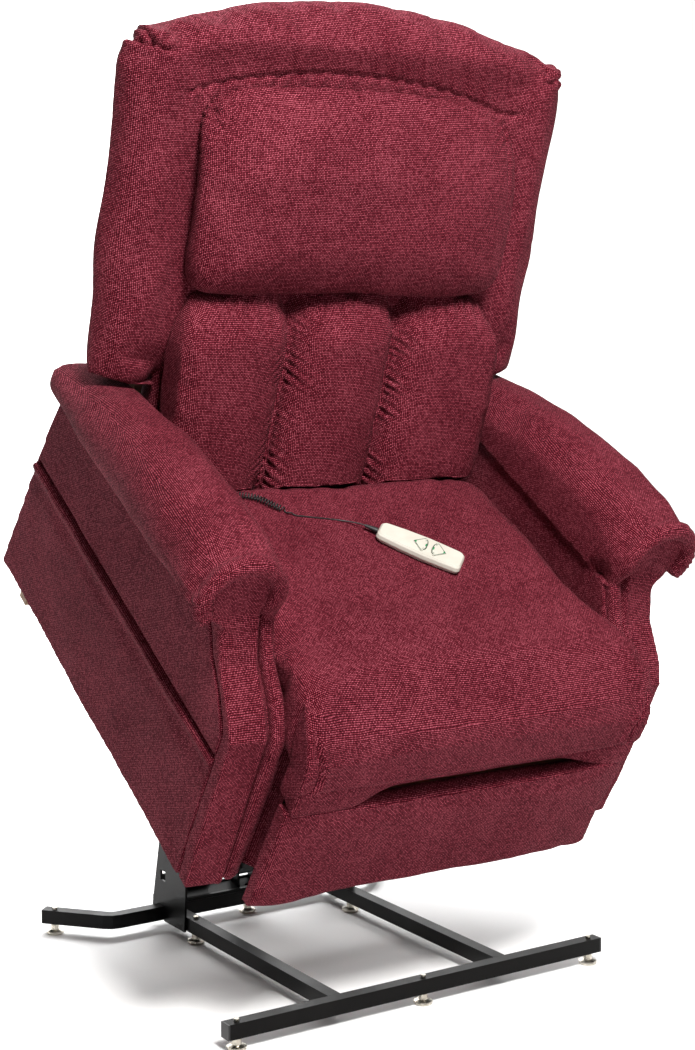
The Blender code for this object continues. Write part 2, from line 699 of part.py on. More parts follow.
def build_footrest(rear, front, rest):
    e, m, n = FOOT_E.yz, FOOT_M.yz, FOOT_N.yz
    link_x = FOOT_LINK_X
    outer_x = link_x + 0.0065
    link_plates("footrest_rear_links", (e, m), link_x, rear, [(e, link_x + 0.002), (m, link_x + 0.002)])
    link_plates("footrest_front_links", (m, n), outer_x, front, [(n, outer_x + 0.002)])

    board = box_mesh("footrest_board", (-0.250, -0.0305, 0.012), (0.250, -0.0170, 0.186))
    board = new_object("footrest_board", board, "wood", rest)
    for side in (-1, 1):
        ear_x = sorted((side * 0.236, side * 0.242))
        ear_outline = hull_outline([(n, 0.011), ((-0.019, 0.170), 0.006), ((-0.019, 0.130), 0.006)], 12)
        ear = extrude_x("ear", ear_outline, *ear_x)
        combine(board, ear, "UNION")
        hole_x = (ear_x[0] - 0.004, ear_x[1] + 0.004)
        combine(board, drum_x("rod_hole", n, FOOT_ROD_R + PIN_CLEAR, *hole_x, 12), "DIFFERENCE")
    outline = [
        (-0.0565, 0.004), (-0.0500, -0.004), (-0.0120, -0.004), (-0.0120, 0.004), (-0.0310, 0.006),
        (-0.0310, 0.190), (-0.0360, 0.197), (-0.0480, 0.197), (-0.0565, 0.188),
    ]
    new_object("footrest_pad", extrude_x("footrest_pad", outline, -NOSE_HALF, NOSE_HALF), "fabric", rest)


# ---------------------------------------------------------------- backrest, in (x, t, s)
def super_outline(half_x, low, high, power=5.0, count=28):
    middle = (low + high) / 2
    half = (high - low) / 2
    points = []
    for i in range(count):
        angle = 2 * math.pi * (i + 0.5) / count
        c, s = math.cos(angle), math.sin(angle)
        x = half_x * math.copysign(abs(c) ** (2 / power), c)
        z = middle + half * math.copysign(abs(s) ** (2 / power), s)
        points.append((x, z))
    return points


def puffed(name, outline, stations, frame):
    """A cushion: one outline stacked through (t, inset) stations."""
    xs = [p[0] for p in outline]
    zs = [p[1] for p in outline]
    cx, cz = (min(xs) + max(xs)) / 2, (min(zs) + max(zs)) / 2
    hx, hz = (max(xs) - min(xs)) / 2, (max(zs) - min(zs)) / 2
    rings = []
    for t, inset in stations:
        ring = []
        for x, z in outline:
            ring_x = cx + (x - cx) * (1 - inset / hx)
            ring_z = cz + (z - cz) * (1 - inset / hz)
            ring.append((ring_x, t, ring_z))
        rings.append(ring)
    obj = new_object(name, loft_mesh(name, rings), "fabric", frame)
    smooth(obj)
    return obj


def back_outline(half_x, top_side, top_middle, low, neck_half, neck_top):
    """The backrest's face: an arched top over square shoulders, narrower between the arms."""
    arch_steps = 8
    outline = [(neck_half, low), (neck_half, neck_top)]
    outline += [(half_x - 0.010, neck_top), (half_x, neck_top + 0.012)]
    outline += [(half_x, top_side - 0.055), (half_x - 0.008, top_side - 0.022), (half_x - 0.030, top_side)]
    for step in range(1, arch_steps):
        share = step / arch_steps
        x = (half_x - 0.030) * (1 - 2 * share)
        outline.append((x, top_side + (top_middle - top_side) * math.sin(math.pi * share)))
    mirrored = [(-x, z) for x, z in reversed(outline[:7])]
    return outline + mirrored


def build_back(back):
    rear_face = 0.087
    frame_front, frame_rear = 0.0455, 0.0640
    outline = [
        (0.285, -0.020), (0.285, 0.245), (0.300, 0.290), (0.300, 0.690), (-0.300, 0.690), (-0.300, 0.290),
        (-0.285, 0.245), (-0.285, -0.020),
    ]
    rings = [[(x, t, s) for x, s in outline] for t in (frame_front, frame_rear)]
    frame = new_object("back_frame", loft_mesh("back_frame", rings), "wood", back)
    for side in (-1, 1):
        leg_x = sorted((side * 0.278, side * 0.290))
        corners = [((0.0, 0.0), 0.018), ((0.052, 0.000), 0.010), ((0.052, 0.070), 0.010)]
        leg_outline = hull_outline(corners, 12)
        combine(frame, extrude_x("leg", leg_outline, *leg_x), "UNION")
        pin_x = sorted((side * 0.284, side * 0.3515))
        combine(frame, drum_x("hinge_pin", (0.0, 0.0), PIN_R, *pin_x), "UNION")

    shell = back_outline(0.360, 0.715, 0.722, 0.030, 0.296, 0.236)
    shell_steps = [(frame_rear + GAP, 0.0), (rear_face - 0.006, 0.0), (rear_face, 0.006)]
    puffed("back_outer_panel", shell, shell_steps, back)

    face = back_outline(0.405, 0.765, 0.828, 0.125, 0.298, 0.247)
    stations = [
        (frame_front - GAP, 0.058), (0.020, 0.040), (0.000, 0.024), (-0.022, 0.004), (-0.034, 0.0),
        (-0.048, 0.010), (-0.055, 0.030),
    ]
    puffed("back_pad", face, stations, back)

    contact = -0.0555
    puffed(
        "headrest_pillow", super_outline(0.286, 0.378, 0.712, 9.0),
        [(contact, 0.012), (contact - 0.012, 0.0), (-0.094, 0.0), (-0.122, 0.014), (-0.138, 0.045)], back)

    lumbar = []
    steps = ((contact, contact, 0.012), (-0.068, -0.068, 0.0), (-0.132, -0.110, 0.0), (-0.152, -0.128, 0.012))
    for t_low, t_high, inset in steps:
        ring = []
        for x, s in super_outline(0.292 - inset, 0.092 + inset * 0.6, 0.3765 - inset * 0.4, 9.0):
            share = (s - 0.092) / (0.3765 - 0.092)
            ring.append((x, t_low + (t_high - t_low) * share, s))
        lumbar.append(ring)
    pad = new_object("lumbar_pad", loft_mesh("lumbar_pad", lumbar), "fabric", back)
    smooth(pad)


# ---------------------------------------------------------------- handset and its cord
def handset_outline(inset):
    """A slim shell, widest in the middle and narrowest at the cord end, drawn along +Y to the button end."""
    half = HANDSET_LENGTH / 2 - inset
    middle = HANDSET_WIDTH / 2 - inset
    wide = middle - 0.002
    narrow = middle - 0.006
    corner = 0.009
    corners = [
        (wide - corner, half - corner, 0), (corner - wide, half - corner, 90),
        (corner - narrow, corner - half, 180), (narrow - corner, corner - half, 270),
    ]
    points = []
    for x, y, start in corners:
        for step in range(4):
            angle = math.radians(start + 30 * step)
            points.append((x + corner * math.cos(angle), y + corner * math.sin(angle)))
        if start in (90, 270):
            side = -1 if start == 90 else 1
            near, far = middle - 0.0008, middle - 0.0024
            bow = [(side * near, 0.035), (side * middle, 0.008), (side * far, -0.030)]
            points += bow if start == 90 else bow[::-1]
    return points


def arrow_outline(centre, spare, way):
    """An arrow key pointing along +Y or -Y, wide at its shoulders; spare is added all round."""
    half = [
        (0.0, 0.0115 + spare * 1.4), (-0.0200 - spare * 1.3, -0.0055), (-0.0186 - spare, -0.0078 - spare),
        (-0.0140 - spare, -0.0070 - spare), (-0.0125 - spare, -0.0104 - spare), (-0.0060, -0.0118 - spare),
    ]
    points = half + [(-x, y) for x, y in reversed(half[1:])]
    outline = [(x, centre + way * y) for x, y in points]
    return outline if way > 0 else outline[::-1]


def stack(name, levels):
    """A closed solid through (outline, z) levels."""
    return loft_mesh(name, [[(x, y, z) for x, y in outline] for outline, z in levels])


def build_handset(handset):
    split, top = 0.0090, 0.0180
    base = stack("handset_base", [
        (handset_outline(0.0070), 0.0), (handset_outline(0.0022), 0.004), (handset_outline(0.0), split)])
    new_object("handset_base", base, "ivory_plastic", handset)
    lid = stack("handset_top", [
        (handset_outline(0.0), split + GAP), (handset_outline(0.0008), 0.0148),
        (handset_outline(0.0032), top)])
    cover = new_object("handset_top", lid, "ivory_plastic", handset)
    for name, centre, way in (("button_up", BUTTON_UP_Y, -1), ("button_down", BUTTON_DOWN_Y, 1)):
        wall = arrow_outline(centre, 0.0005, way)
        combine(cover, stack("pocket", [(wall, top - BUTTON_DEPTH), (wall, top + 0.01)]), "DIFFERENCE")
        key = arrow_outline(0.0, 0.0, way)
        frame = Frame(name + "_axis", (0.0, centre, top), handset, drawn_from=ORIGIN)
        low = BUTTON_TRAVEL + GAP - BUTTON_DEPTH
        new_object(name, stack(name, [(key, low), (key, 0.0008)]), "ivory_plastic", frame)

    start = -HANDSET_LENGTH / 2
    rings = []
    for y, radius in ((start - GAP, 0.0045), (start - 0.006, 0.0042), (start - RELIEF_LENGTH, 0.0026)):
        rings.append([(x, y, CORD_EXIT_Z + z) for x, z in circle((0, 0), radius, 12)])
    relief = loft_mesh("handset_strain_relief", rings)
    new_object("handset_strain_relief", relief, "black_plastic", handset)


def smooth_route(points, count):
    """Evenly spread points on a smooth curve (Catmull-Rom) through the route's own points."""
    ends = [points[0] * 2 - points[1]] + points + [points[-1] * 2 - points[-2]]
    fine = []
    per_span = 24
    for i in range(len(points) - 1):
        a, b, c, d = ends[i:i + 4]
        for step in range(per_span):
            t = step / per_span
            fine.append(0.5 * (2 * b + (c - a) * t + (2 * a - 5 * b + 4 * c - d) * t * t
                               + (3 * b - 3 * c + d - a) * t ** 3))
    fine.append(points[-1])
    travelled = [0.0]
    for a, b in zip(fine, fine[1:]):
        travelled.append(travelled[-1] + (b - a).length)
    spread = []
    at = 0
    for i in range(count):
        goal = travelled[-1] * i / (count - 1)
        while at < len(fine) - 2 and travelled[at + 1] < goal:
            at += 1
        share = (goal - travelled[at]) / (travelled[at + 1] - travelled[at])
        spread.append(fine[at].lerp(fine[at + 1], min(share, 1.0)))
    return spread


def cord_tube(name, points, radius, resolution, frame):
    curve = bpy.data.curves.new(name, "CURVE")
    curve.dimensions = "3D"
    curve.bevel_depth = radius
    curve.bevel_resolution = resolution
    curve.render_resolution_u = 0
    curve.use_fill_caps = True
    spline = curve.splines.new("POLY")
    spline.points.add(len(points) - 1)
    for spot, point in zip(spline.points, points):
        spot.co = (*point, 1.0)
    new_object(name, curve, "black_plastic", frame)


def build_cord(chair):
    """From the handset across the seat, then curled, and down beside the left arm."""
    turn = Matrix.Rotation(HANDSET_TURN, 3, "Z")
    exit_at = HANDSET_PLACE + turn @ Vector((0.0, -HANDSET_LENGTH / 2 - RELIEF_LENGTH - GAP, CORD_EXIT_Z))
    lead_out = exit_at + turn @ Vector((0.0, -0.010, -0.0005))
    on_seat = SEAT_TOP + CURL_R + 0.0008
    curl_start = Vector((-0.124, 0.394, on_seat))
    straight = [exit_at, lead_out, Vector((-0.055, 0.376, SEAT_TOP + 0.0066)),
                Vector((-0.092, 0.386, SEAT_TOP + 0.0050)), curl_start + Vector((3 * GAP, 0.0, 0.0))]
    cord_tube("handset_cord", smooth_route(straight, 26), CORD_R, 2, chair)
    curl = [curl_start, Vector((-0.152, 0.412, on_seat)), Vector((-0.186, 0.440, on_seat)),
            Vector((-0.235, 0.452, on_seat)), Vector((-0.300, 0.444, on_seat))]
    cord_tube("handset_cord_curl", smooth_route(curl, 16), CURL_R, 2, chair)


def main():
    clear_scene()
    floor = Frame("floor_frame", ORIGIN)
    build_floor_frame(floor)
    build_feet(floor)

    top, _, _ = lift_geometry()
    lift = Frame("lift_axis", LIFT_PIVOT, floor)
    build_lift_arms(lift)
    build_guide_links(Frame("guide_axis", GUIDE_PIVOT, floor))
    direction, _ = actuator_direction()
    slant = math.atan2(-direction.y, direction.z)
    actuator = Frame("actuator_axis", ACTUATOR_PIVOT, floor, turn=(slant, 0.0, 0.0), drawn_from=ORIGIN)
    build_actuator(actuator, Frame("rod_axis", ORIGIN, actuator))

    chair = Frame("chair_axis", top, lift, turn=(LIFT_TILT, 0.0, 0.0), drawn_from=LIFT_PIN_ON_CHAIR)
    build_chassis(chair)
    build_sides(chair)
    build_rear_panels(chair)
    build_seat(chair)

    rear_links = Frame("footrest_rear_axis", FOOT_E, chair)
    front_links = Frame("footrest_front_axis", FOOT_M, rear_links)
    build_footrest(rear_links, front_links, Frame("footrest_axis", FOOT_N, front_links))
    build_back(Frame("back_axis", BACK_HINGE, chair, turn=(-BACK_LEAN, 0.0, 0.0), drawn_from=ORIGIN))

    turn = (0.0, 0.0, HANDSET_TURN)
    build_handset(Frame("handset_place", HANDSET_PLACE, chair, turn=turn, drawn_from=ORIGIN))
    build_cord(chair)


main()
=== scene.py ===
"""The looks of a lift recliner chair: cushions, fabric, steel, handset and cord on its frame."""
import json
import math

import bmesh
import bpy
import numpy as np
from mathutils import Matrix, Vector

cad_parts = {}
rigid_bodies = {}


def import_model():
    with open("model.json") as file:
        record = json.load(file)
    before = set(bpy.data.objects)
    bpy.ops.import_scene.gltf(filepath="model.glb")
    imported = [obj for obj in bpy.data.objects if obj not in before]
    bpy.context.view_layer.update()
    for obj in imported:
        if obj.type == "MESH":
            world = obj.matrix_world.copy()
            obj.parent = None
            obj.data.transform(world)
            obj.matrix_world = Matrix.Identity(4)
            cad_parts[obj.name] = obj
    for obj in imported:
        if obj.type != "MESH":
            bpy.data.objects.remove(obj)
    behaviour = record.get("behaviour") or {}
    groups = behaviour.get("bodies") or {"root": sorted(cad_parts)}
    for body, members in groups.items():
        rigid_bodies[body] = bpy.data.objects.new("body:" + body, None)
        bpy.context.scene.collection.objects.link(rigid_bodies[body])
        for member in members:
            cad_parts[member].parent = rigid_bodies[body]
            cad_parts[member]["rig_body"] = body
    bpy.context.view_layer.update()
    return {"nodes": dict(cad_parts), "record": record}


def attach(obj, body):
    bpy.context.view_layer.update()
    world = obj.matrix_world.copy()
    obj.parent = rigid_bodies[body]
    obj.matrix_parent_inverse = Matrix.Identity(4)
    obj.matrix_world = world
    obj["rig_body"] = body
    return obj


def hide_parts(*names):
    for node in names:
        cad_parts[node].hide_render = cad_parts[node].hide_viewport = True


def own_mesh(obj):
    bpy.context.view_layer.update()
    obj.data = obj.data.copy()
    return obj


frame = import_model()
NODES = frame["nodes"]

# Every length is in metres. As in the CAD, the chair is drawn level in (x, u, v), which is across,
# rearward and up, and its back in (x, t, s), which is across, rearward and up along the back.
RAISED_TILT = math.radians(32.5)
BACK_LEAN = math.radians(16.45)
BACK_U, BACK_V = 0.60, 0.24  # where the back's frame starts, in the chair's
CHAIR = Matrix.Translation((0.0, 0.040, 0.2387)) @ Matrix.Rotation(RAISED_TILT, 4, "X")
BACK = CHAIR @ Matrix.Translation((0.0, BACK_U, BACK_V)) @ Matrix.Rotation(-BACK_LEAN, 4, "X")
LEVEL = Matrix.Identity(4)
SEAT_TOP = 0.366


def chair(x, u, v):
    return CHAIR @ Vector((x, u, v))


# ---------------------------------------------------------------- camera, light and floor
CAMERA_PLACE, CAMERA_AIM = (-1.662, -2.316, 1.071), (0.0708, 0.324, 0.7212)
LENS_MM, SENSOR_MM = 64.39, 36.0
WHITE = (1.0, 1.0, 1.0)
# name, place, aim, diameter, watts and colour
LIGHTS = (
    ("key", (-0.6, -2.3, 3.3), (0.0, 0.2, 0.7), 1.1, 235, (1.0, 0.985, 0.965)),
    ("top", (0.4, 1.1, 3.6), (0.1, 0.5, 0.6), 1.6, 45, WHITE),
    ("backdrop", (1.3, 2.0, 3.0), (1.6, 4.8, 0.6), 3.0, 300, WHITE),
    ("floor_wash", (0.4, 1.6, 3.2), (0.8, 2.6, 0.0), 2.4, 90, WHITE),
)
WORLD_STRENGTH = 0.05
PAPER_ALBEDO = 0.88
# The paper runs flat from FRONT to SWEEP, bends up at RADIUS, and stands to WALL_TOP.
PAPER_FRONT, PAPER_SWEEP, PAPER_RADIUS, WALL_TOP, PAPER_HALF = -6.0, 3.4, 1.2, 6.0, 8.0


def link(name, data):
    obj = bpy.data.objects.new(name, data)
    bpy.context.scene.collection.objects.link(obj)
    return obj


def aim_at(obj, place, aim):
    obj.location = place
    obj.rotation_euler = (Vector(aim) - obj.location).to_track_quat("-Z", "Y").to_euler()


def build_camera():
    camera = link("camera", bpy.data.cameras.new("camera"))
    camera.data.lens = LENS_MM
    camera.data.sensor_width = SENSOR_MM
    aim_at(camera, CAMERA_PLACE, CAMERA_AIM)
    bpy.context.scene.camera = camera


def build_light(name, place, aim, diameter, power, colour):
    data = bpy.data.lights.new(name, "AREA")
    data.shape = "DISK"
    data.size = diameter
    data.energy = power
    data.color = colour
    aim_at(link(name, data), place, aim)


def build_paper():
    """The studio's paper: a floor that sweeps up into a wall."""
    sweep = [(PAPER_FRONT, 0.0), (PAPER_SWEEP, 0.0)]
    for step in range(1, 13):
        angle = math.radians(90 * step / 12)
        sweep.append((PAPER_SWEEP + PAPER_RADIUS * math.sin(angle),
                      PAPER_RADIUS - PAPER_RADIUS * math.cos(angle)))
    sweep.append((PAPER_SWEEP + PAPER_RADIUS, WALL_TOP))
    mesh = bpy.data.meshes.new("studio_floor")
    verts = [(x, y, z) for y, z in sweep for x in (-PAPER_HALF, PAPER_HALF)]
    faces = [(2 * i, 2 * i + 1, 2 * i + 3, 2 * i + 2) for i in range(len(sweep) - 1)]
    mesh.from_pydata(verts, [], faces)
    mesh.polygons.foreach_set("use_smooth", [True] * len(faces))
    floor = link("studio_floor", mesh)
    paper, _, bsdf = new_material("studio_paper", roughness=0.9)
    bsdf.inputs["Base Color"].default_value = (PAPER_ALBEDO, PAPER_ALBEDO, PAPER_ALBEDO, 1.0)
    mesh.materials.append(paper)


def build_studio():
    for light in LIGHTS:
        build_light(*light)
    world = bpy.data.worlds.new("studio")
    world.use_nodes = True
    background = world.node_tree.nodes["Background"]
    background.inputs["Color"].default_value = (*WHITE, 1.0)
    background.inputs["Strength"].default_value = WORLD_STRENGTH
    bpy.context.scene.world = world
    bpy.context.scene.view_settings.view_transform = "Standard"
    build_paper()


# ---------------------------------------------------------------- materials
class Graph:
    """Short names for the shader nodes used here."""

    def __init__(self, tree):
        self.tree = tree

    def node(self, kind, **settings):
        made = self.tree.nodes.new("ShaderNode" + kind)
        for key, value in settings.items():
            setattr(made, key, value)
        return made

    def wire(self, value, socket):
        if isinstance(value, (int, float, tuple)):
            socket.default_value = value
        else:
            self.tree.links.new(value, socket)

    def math(self, operation, *values):
        made = self.node("Math", operation=operation)
        for value, socket in zip(values, made.inputs):
            self.wire(value, socket)
        return made.outputs[0]

    def vector(self, x, y, z):
        made = self.node("CombineXYZ")
        for value, socket in zip((x, y, z), made.inputs):
            self.wire(value, socket)
        return made.outputs[0]

    def parts(self, vector):
        made = self.node("SeparateXYZ")
        self.wire(vector, made.inputs[0])
        return made.outputs[0], made.outputs[1], made.outputs[2]

    def lerp(self, share, a, b):
        made = self.node("Mix", data_type="FLOAT")
        for value, socket in zip((share, a, b), (made.inputs[0], made.inputs[2], made.inputs[3])):
            self.wire(value, socket)
        return made.outputs[0]

    def noise(self, vector, scale, detail=3.0, roughness=0.55):
        made = self.node("TexNoise")
        self.wire(vector, made.inputs["Vector"])
        made.inputs["Scale"].default_value = scale
        made.inputs["Detail"].default_value = detail
        made.inputs["Roughness"].default_value = roughness
        return made.outputs[0]

    def ramp(self, value, stops):
        made = self.node("ValToRGB")
        self.wire(value, made.inputs[0])
        spots = made.color_ramp.elements
        while len(spots) < len(stops):
            spots.new(1.0)
        for spot, (at, colour) in zip(spots, stops):
            spot.position = at
            spot.color = (*colour, 1.0)
        return made.outputs[0]

    def bump(self, height, distance, strength):
        made = self.node("Bump")
        made.inputs["Strength"].default_value = strength
        made.inputs["Distance"].default_value = distance
        self.wire(height, made.inputs["Height"])
        return made.outputs[0]


def new_material(name, roughness=0.5, metallic=0.0):
    material = bpy.data.materials.new(name)
    material.use_nodes = True
    bsdf = material.node_tree.nodes["Principled BSDF"]
    bsdf.inputs["Roughness"].default_value = roughness
    bsdf.inputs["Metallic"].default_value = metallic
    return material, Graph(material.node_tree), bsdf


THREAD = 0.0025  # one thread of the tweed across
# the tweed's colours, from painted shade in the gaps between threads to painted highlights and pink
# slubs on their tops
TWEED_PAINTED_SHADE_AND_TONES = (
    (0.02, (0.005, 0.0002, 0.0008)), (0.30, (0.032, 0.0014, 0.0042)),
    (0.54, (0.108, 0.0064, 0.0145)), (0.76, (0.225, 0.0270, 0.0460)),
    (0.94, (0.470, 0.1150, 0.1550)))


def weave_height(g, a, b):
    """A plain weave on the cloth's plane (a, b): its height, 0 to 1, what is over, and the cell."""
    a_cells = g.math("DIVIDE", a, THREAD)
    b_cells = g.math("DIVIDE", b, THREAD)
    a_index = g.math("FLOOR", a_cells)
    b_index = g.math("FLOOR", b_cells)

    def thread(across, along, index):
        round_top = g.math("ABSOLUTE", g.math("SINE", g.math("MULTIPLY", across, math.pi)))
        phase = g.math("MULTIPLY", g.math("ADD", g.math("SUBTRACT", along, 0.5), index), math.pi)
        return round_top, g.math("COSINE", phase)

    warp_top, warp_wave = thread(a_cells, b_cells, a_index)
    weft_top, weft_wave = thread(b_cells, a_cells, b_index)
    warp = g.math("MULTIPLY", warp_top, g.math("MULTIPLY_ADD", warp_wave, 0.5, 0.5))
    weft = g.math("MULTIPLY", weft_top, g.math("MULTIPLY_ADD", weft_wave, -0.5, 0.5))
    over = g.math("GREATER_THAN", weft, warp)
    return g.math("MAXIMUM", warp, weft), over, a_index, b_index


def fabric_material(name, turned):
    """A burgundy tweed on a frame's axes: painted highlights and pink slubs on the thread tops,
    painted shade in the gaps between.
    """
    material, g, bsdf = new_material(name, roughness=0.88)
    coords = g.node("TexCoord")
    turn = tuple(Matrix.to_euler(turned.inverted()))

    def turned_by(socket):
        mapping = g.node("Mapping", vector_type="VECTOR")
        g.wire(socket, mapping.inputs["Vector"])
        mapping.inputs["Rotation"].default_value = turn
        return mapping.outputs[0]

    place = turned_by(coords.outputs["Object"])
    x, y, z = g.parts(place)
    nx, ny, nz = (g.math("ABSOLUTE", n) for n in g.parts(turned_by(coords.outputs["Normal"])))
    faces_x = g.math("GREATER_THAN", nx, g.math("MAXIMUM", ny, nz))
    faces_z = g.math("MULTIPLY", g.math("GREATER_THAN", nz, ny), g.math("SUBTRACT", 1.0, faces_x))
    wander = g.math("MULTIPLY_ADD", g.noise(place, 18.0, 2.0), 0.0044, -0.0022)
    a = g.math("ADD", g.lerp(faces_x, x, y), wander)
    b = g.math("ADD", g.lerp(faces_z, z, y), g.math("MULTIPLY", wander, -0.8))
    height, over, a_index, b_index = weave_height(g, a, b)

    speck = g.node("TexWhiteNoise", noise_dimensions="2D")
    g.wire(g.vector(a_index, b_index, 0.0), speck.inputs["Vector"])
    broad = g.noise(place, 11.0, 4.0, 0.62)
    fuzz = g.noise(place, 420.0, 2.0, 0.7)
    # the weave's height paints shade into the gaps and a highlight onto the thread tops; the speck
    # per thread, the thread that is over, the fuzz and the broad noise are the cloth's own tone
    painted_shade_and_tone = g.math("MULTIPLY_ADD", speck.outputs["Value"], 0.27, height)
    painted_shade_and_tone = g.math("MULTIPLY_ADD", over, 0.10, painted_shade_and_tone)
    painted_shade_and_tone = g.math("MULTIPLY_ADD", fuzz, 0.08, painted_shade_and_tone)
    painted_shade_and_tone = g.math("MULTIPLY_ADD", broad, 0.26, painted_shade_and_tone)
    painted_shade_and_tone = g.math("SUBTRACT", painted_shade_and_tone, 0.44)
    g.wire(g.ramp(painted_shade_and_tone, TWEED_PAINTED_SHADE_AND_TONES), bsdf.inputs["Base Color"])
    relief = g.math("MULTIPLY_ADD", fuzz, 0.25, height)
    g.wire(g.bump(relief, 0.0010, 0.95), bsdf.inputs["Normal"])
    bsdf.inputs["Specular IOR Level"].default_value = 0.07
    bsdf.inputs["Sheen Weight"].default_value = 0.02
    bsdf.inputs["Sheen Roughness"].default_value = 0.45
    bsdf.inputs["Sheen Tint"].default_value = (0.86, 0.42, 0.50, 1.0)
    return material


def steel_material():
    """Black powder coat over steel: low gloss orange peel, a little rubbed and dusty."""
    material, g, bsdf = new_material("steel_coat")
    place = g.node("TexCoord").outputs["Object"]
    peel = g.noise(place, 900.0, 2.0)
    rub = g.noise(place, 14.0, 5.0, 0.65)
    coat = g.ramp(rub, [(0.30, (0.0016, 0.0015, 0.0015)), (0.75, (0.0050, 0.0046, 0.0044))])
    g.wire(coat, bsdf.inputs["Base Color"])
    g.wire(g.math("MULTIPLY_ADD", rub, 0.28, 0.26), bsdf.inputs["Roughness"])
    g.wire(g.bump(peel, 0.00025, 0.25), bsdf.inputs["Normal"])
    bsdf.inputs["Specular IOR Level"].default_value = 0.10
    bsdf.inputs["Coat Weight"].default_value = 0.04
    bsdf.inputs["Coat Roughness"].default_value = 0.12
    return material


def plated_material():
    """Zinc plate, a little yellow and stained."""
    material, g, bsdf = new_material("zinc_plate", metallic=1.0)
    place = g.node("TexCoord").outputs["Object"]
    stain = g.noise(place, 70.0, 4.0)
    zinc = g.ramp(stain, [(0.25, (0.46, 0.42, 0.34)), (0.70, (0.78, 0.74, 0.66))])
    g.wire(zinc, bsdf.inputs["Base Color"])
    g.wire(g.math("MULTIPLY_ADD", stain, 0.30, 0.14), bsdf.inputs["Roughness"])
    g.wire(g.bump(g.noise(place, 1400.0, 2.0), 0.0001, 0.2), bsdf.inputs["Normal"])
    return material


def plastic_material(name, low, high, roughness, grain):
    """Moulded plastic between two shades, with a fine grain."""
    material, g, bsdf = new_material(name)
    place = g.node("TexCoord").outputs["Object"]
    cloud = g.noise(place, 30.0, 4.0)
    g.wire(g.ramp(cloud, [(0.30, low), (0.70, high)]), bsdf.inputs["Base Color"])
    g.wire(g.math("MULTIPLY_ADD", cloud, 0.12, roughness - 0.06), bsdf.inputs["Roughness"])
    g.wire(g.bump(g.noise(place, grain, 2.0), 0.0001, 0.25), bsdf.inputs["Normal"])
    return material


def wood_material():
    """Pale planed hardwood: rings stretched along x."""
    material, g, bsdf = new_material("frame_wood", roughness=0.62)
    place = g.node("TexCoord").outputs["Object"]
    stretch = g.node("Mapping")
    g.wire(place, stretch.inputs["Vector"])
    stretch.inputs["Scale"].default_value = (1.6, 16.0, 16.0)
    grain = g.noise(stretch.outputs[0], 9.0, 6.0, 0.7)
    timber = g.ramp(grain, [(0.30, (0.13, 0.070, 0.036)), (0.62, (0.30, 0.190, 0.105))])
    g.wire(timber, bsdf.inputs["Base Color"])
    g.wire(g.bump(grain, 0.0004, 0.35), bsdf.inputs["Normal"])
    return material


# ---------------------------------------------------------------- soft goods: tools
LATTICE_SIDE = 97
LATTICE = np.random.default_rng(11).random((LATTICE_SIDE, LATTICE_SIDE))


def wander(a, b=0.0):
    """Smooth noise, -1 to 1, over one or two coordinates."""
    a, b = np.broadcast_arrays(np.asarray(a, float), np.asarray(b, float))
    i, j = np.floor(a).astype(int), np.floor(b).astype(int)
    p, q = a - i, b - j
    p, q = p * p * (3 - 2 * p), q * q * (3 - 2 * q)

    def at(di, dj):
        return LATTICE[(i + di) % LATTICE_SIDE, (j + dj) % LATTICE_SIDE]

    low = at(0, 0) * (1 - p) + at(1, 0) * p
    high = at(0, 1) * (1 - p) + at(1, 1) * p
    return 2 * (low * (1 - q) + high * q) - 1


def rise(value, start, end):
    """0 before start, 1 after end, smooth between."""
    share = np.clip((value - start) / (end - start), 0, 1)
    return share * share * (3 - 2 * share)


def mix(start, end, share):
    return start * (1 - share) + end * share


def bell(value, middle, width):
    """1 at middle, falling off smoothly over width."""
    return np.exp(-((value - middle) / width) ** 2)


def read(obj, turned=LEVEL):
    """The mesh's points in a drawing frame, one row each."""
    co = np.empty(len(obj.data.vertices) * 3)
    obj.data.vertices.foreach_get("co", co)
    inverse = np.array(turned.inverted())
    return co.reshape(-1, 3) @ inverse[:3, :3].T + inverse[:3, 3]


def write(obj, co, turned=LEVEL):
    """Sets the mesh's points from rows in a drawing frame."""
    matrix = np.array(turned)
    obj.data.vertices.foreach_set("co", (co @ matrix[:3, :3].T + matrix[:3, 3]).ravel())
    obj.data.update()


def normals(obj, turned=LEVEL):
    """The mesh's vertex normals in a drawing frame, one row each."""
    out = np.empty(len(obj.data.vertices) * 3, np.float32)
    obj.data.vertex_normals.foreach_get("vector", out)
    return out.reshape(-1, 3) @ np.array(turned.inverted())[:3, :3].T


def bake_modifiers(obj):
    """The evaluated mesh becomes the object's own."""
    graph = bpy.context.evaluated_depsgraph_get()
    mesh = bpy.data.meshes.new_from_object(obj.evaluated_get(graph))
    obj.modifiers.clear()
    obj.data = mesh


def smooth_cap(value, limit, soft=0.003):
    """value, eased off below limit."""
    return limit - soft * np.logaddexp(0, (limit - value) / soft)


def roll_mesh(work, points, radius):
    """Adds a rounded sausage of padding along some points to a bmesh."""
    for a, b in zip(points, points[1:]):
        middle, away = (a + b) / 2, b - a
        turn = away.to_track_quat("Z", "Y").to_matrix().to_4x4()
        spot = Matrix.Translation(middle) @ turn
        bmesh.ops.create_cone(work, cap_ends=True, segments=20, radius1=radius, radius2=radius,
                              depth=away.length * 1.04, matrix=spot)
    for point in points:
        bmesh.ops.create_icosphere(work, subdivisions=2, radius=radius,
                                   matrix=Matrix.Translation(point))


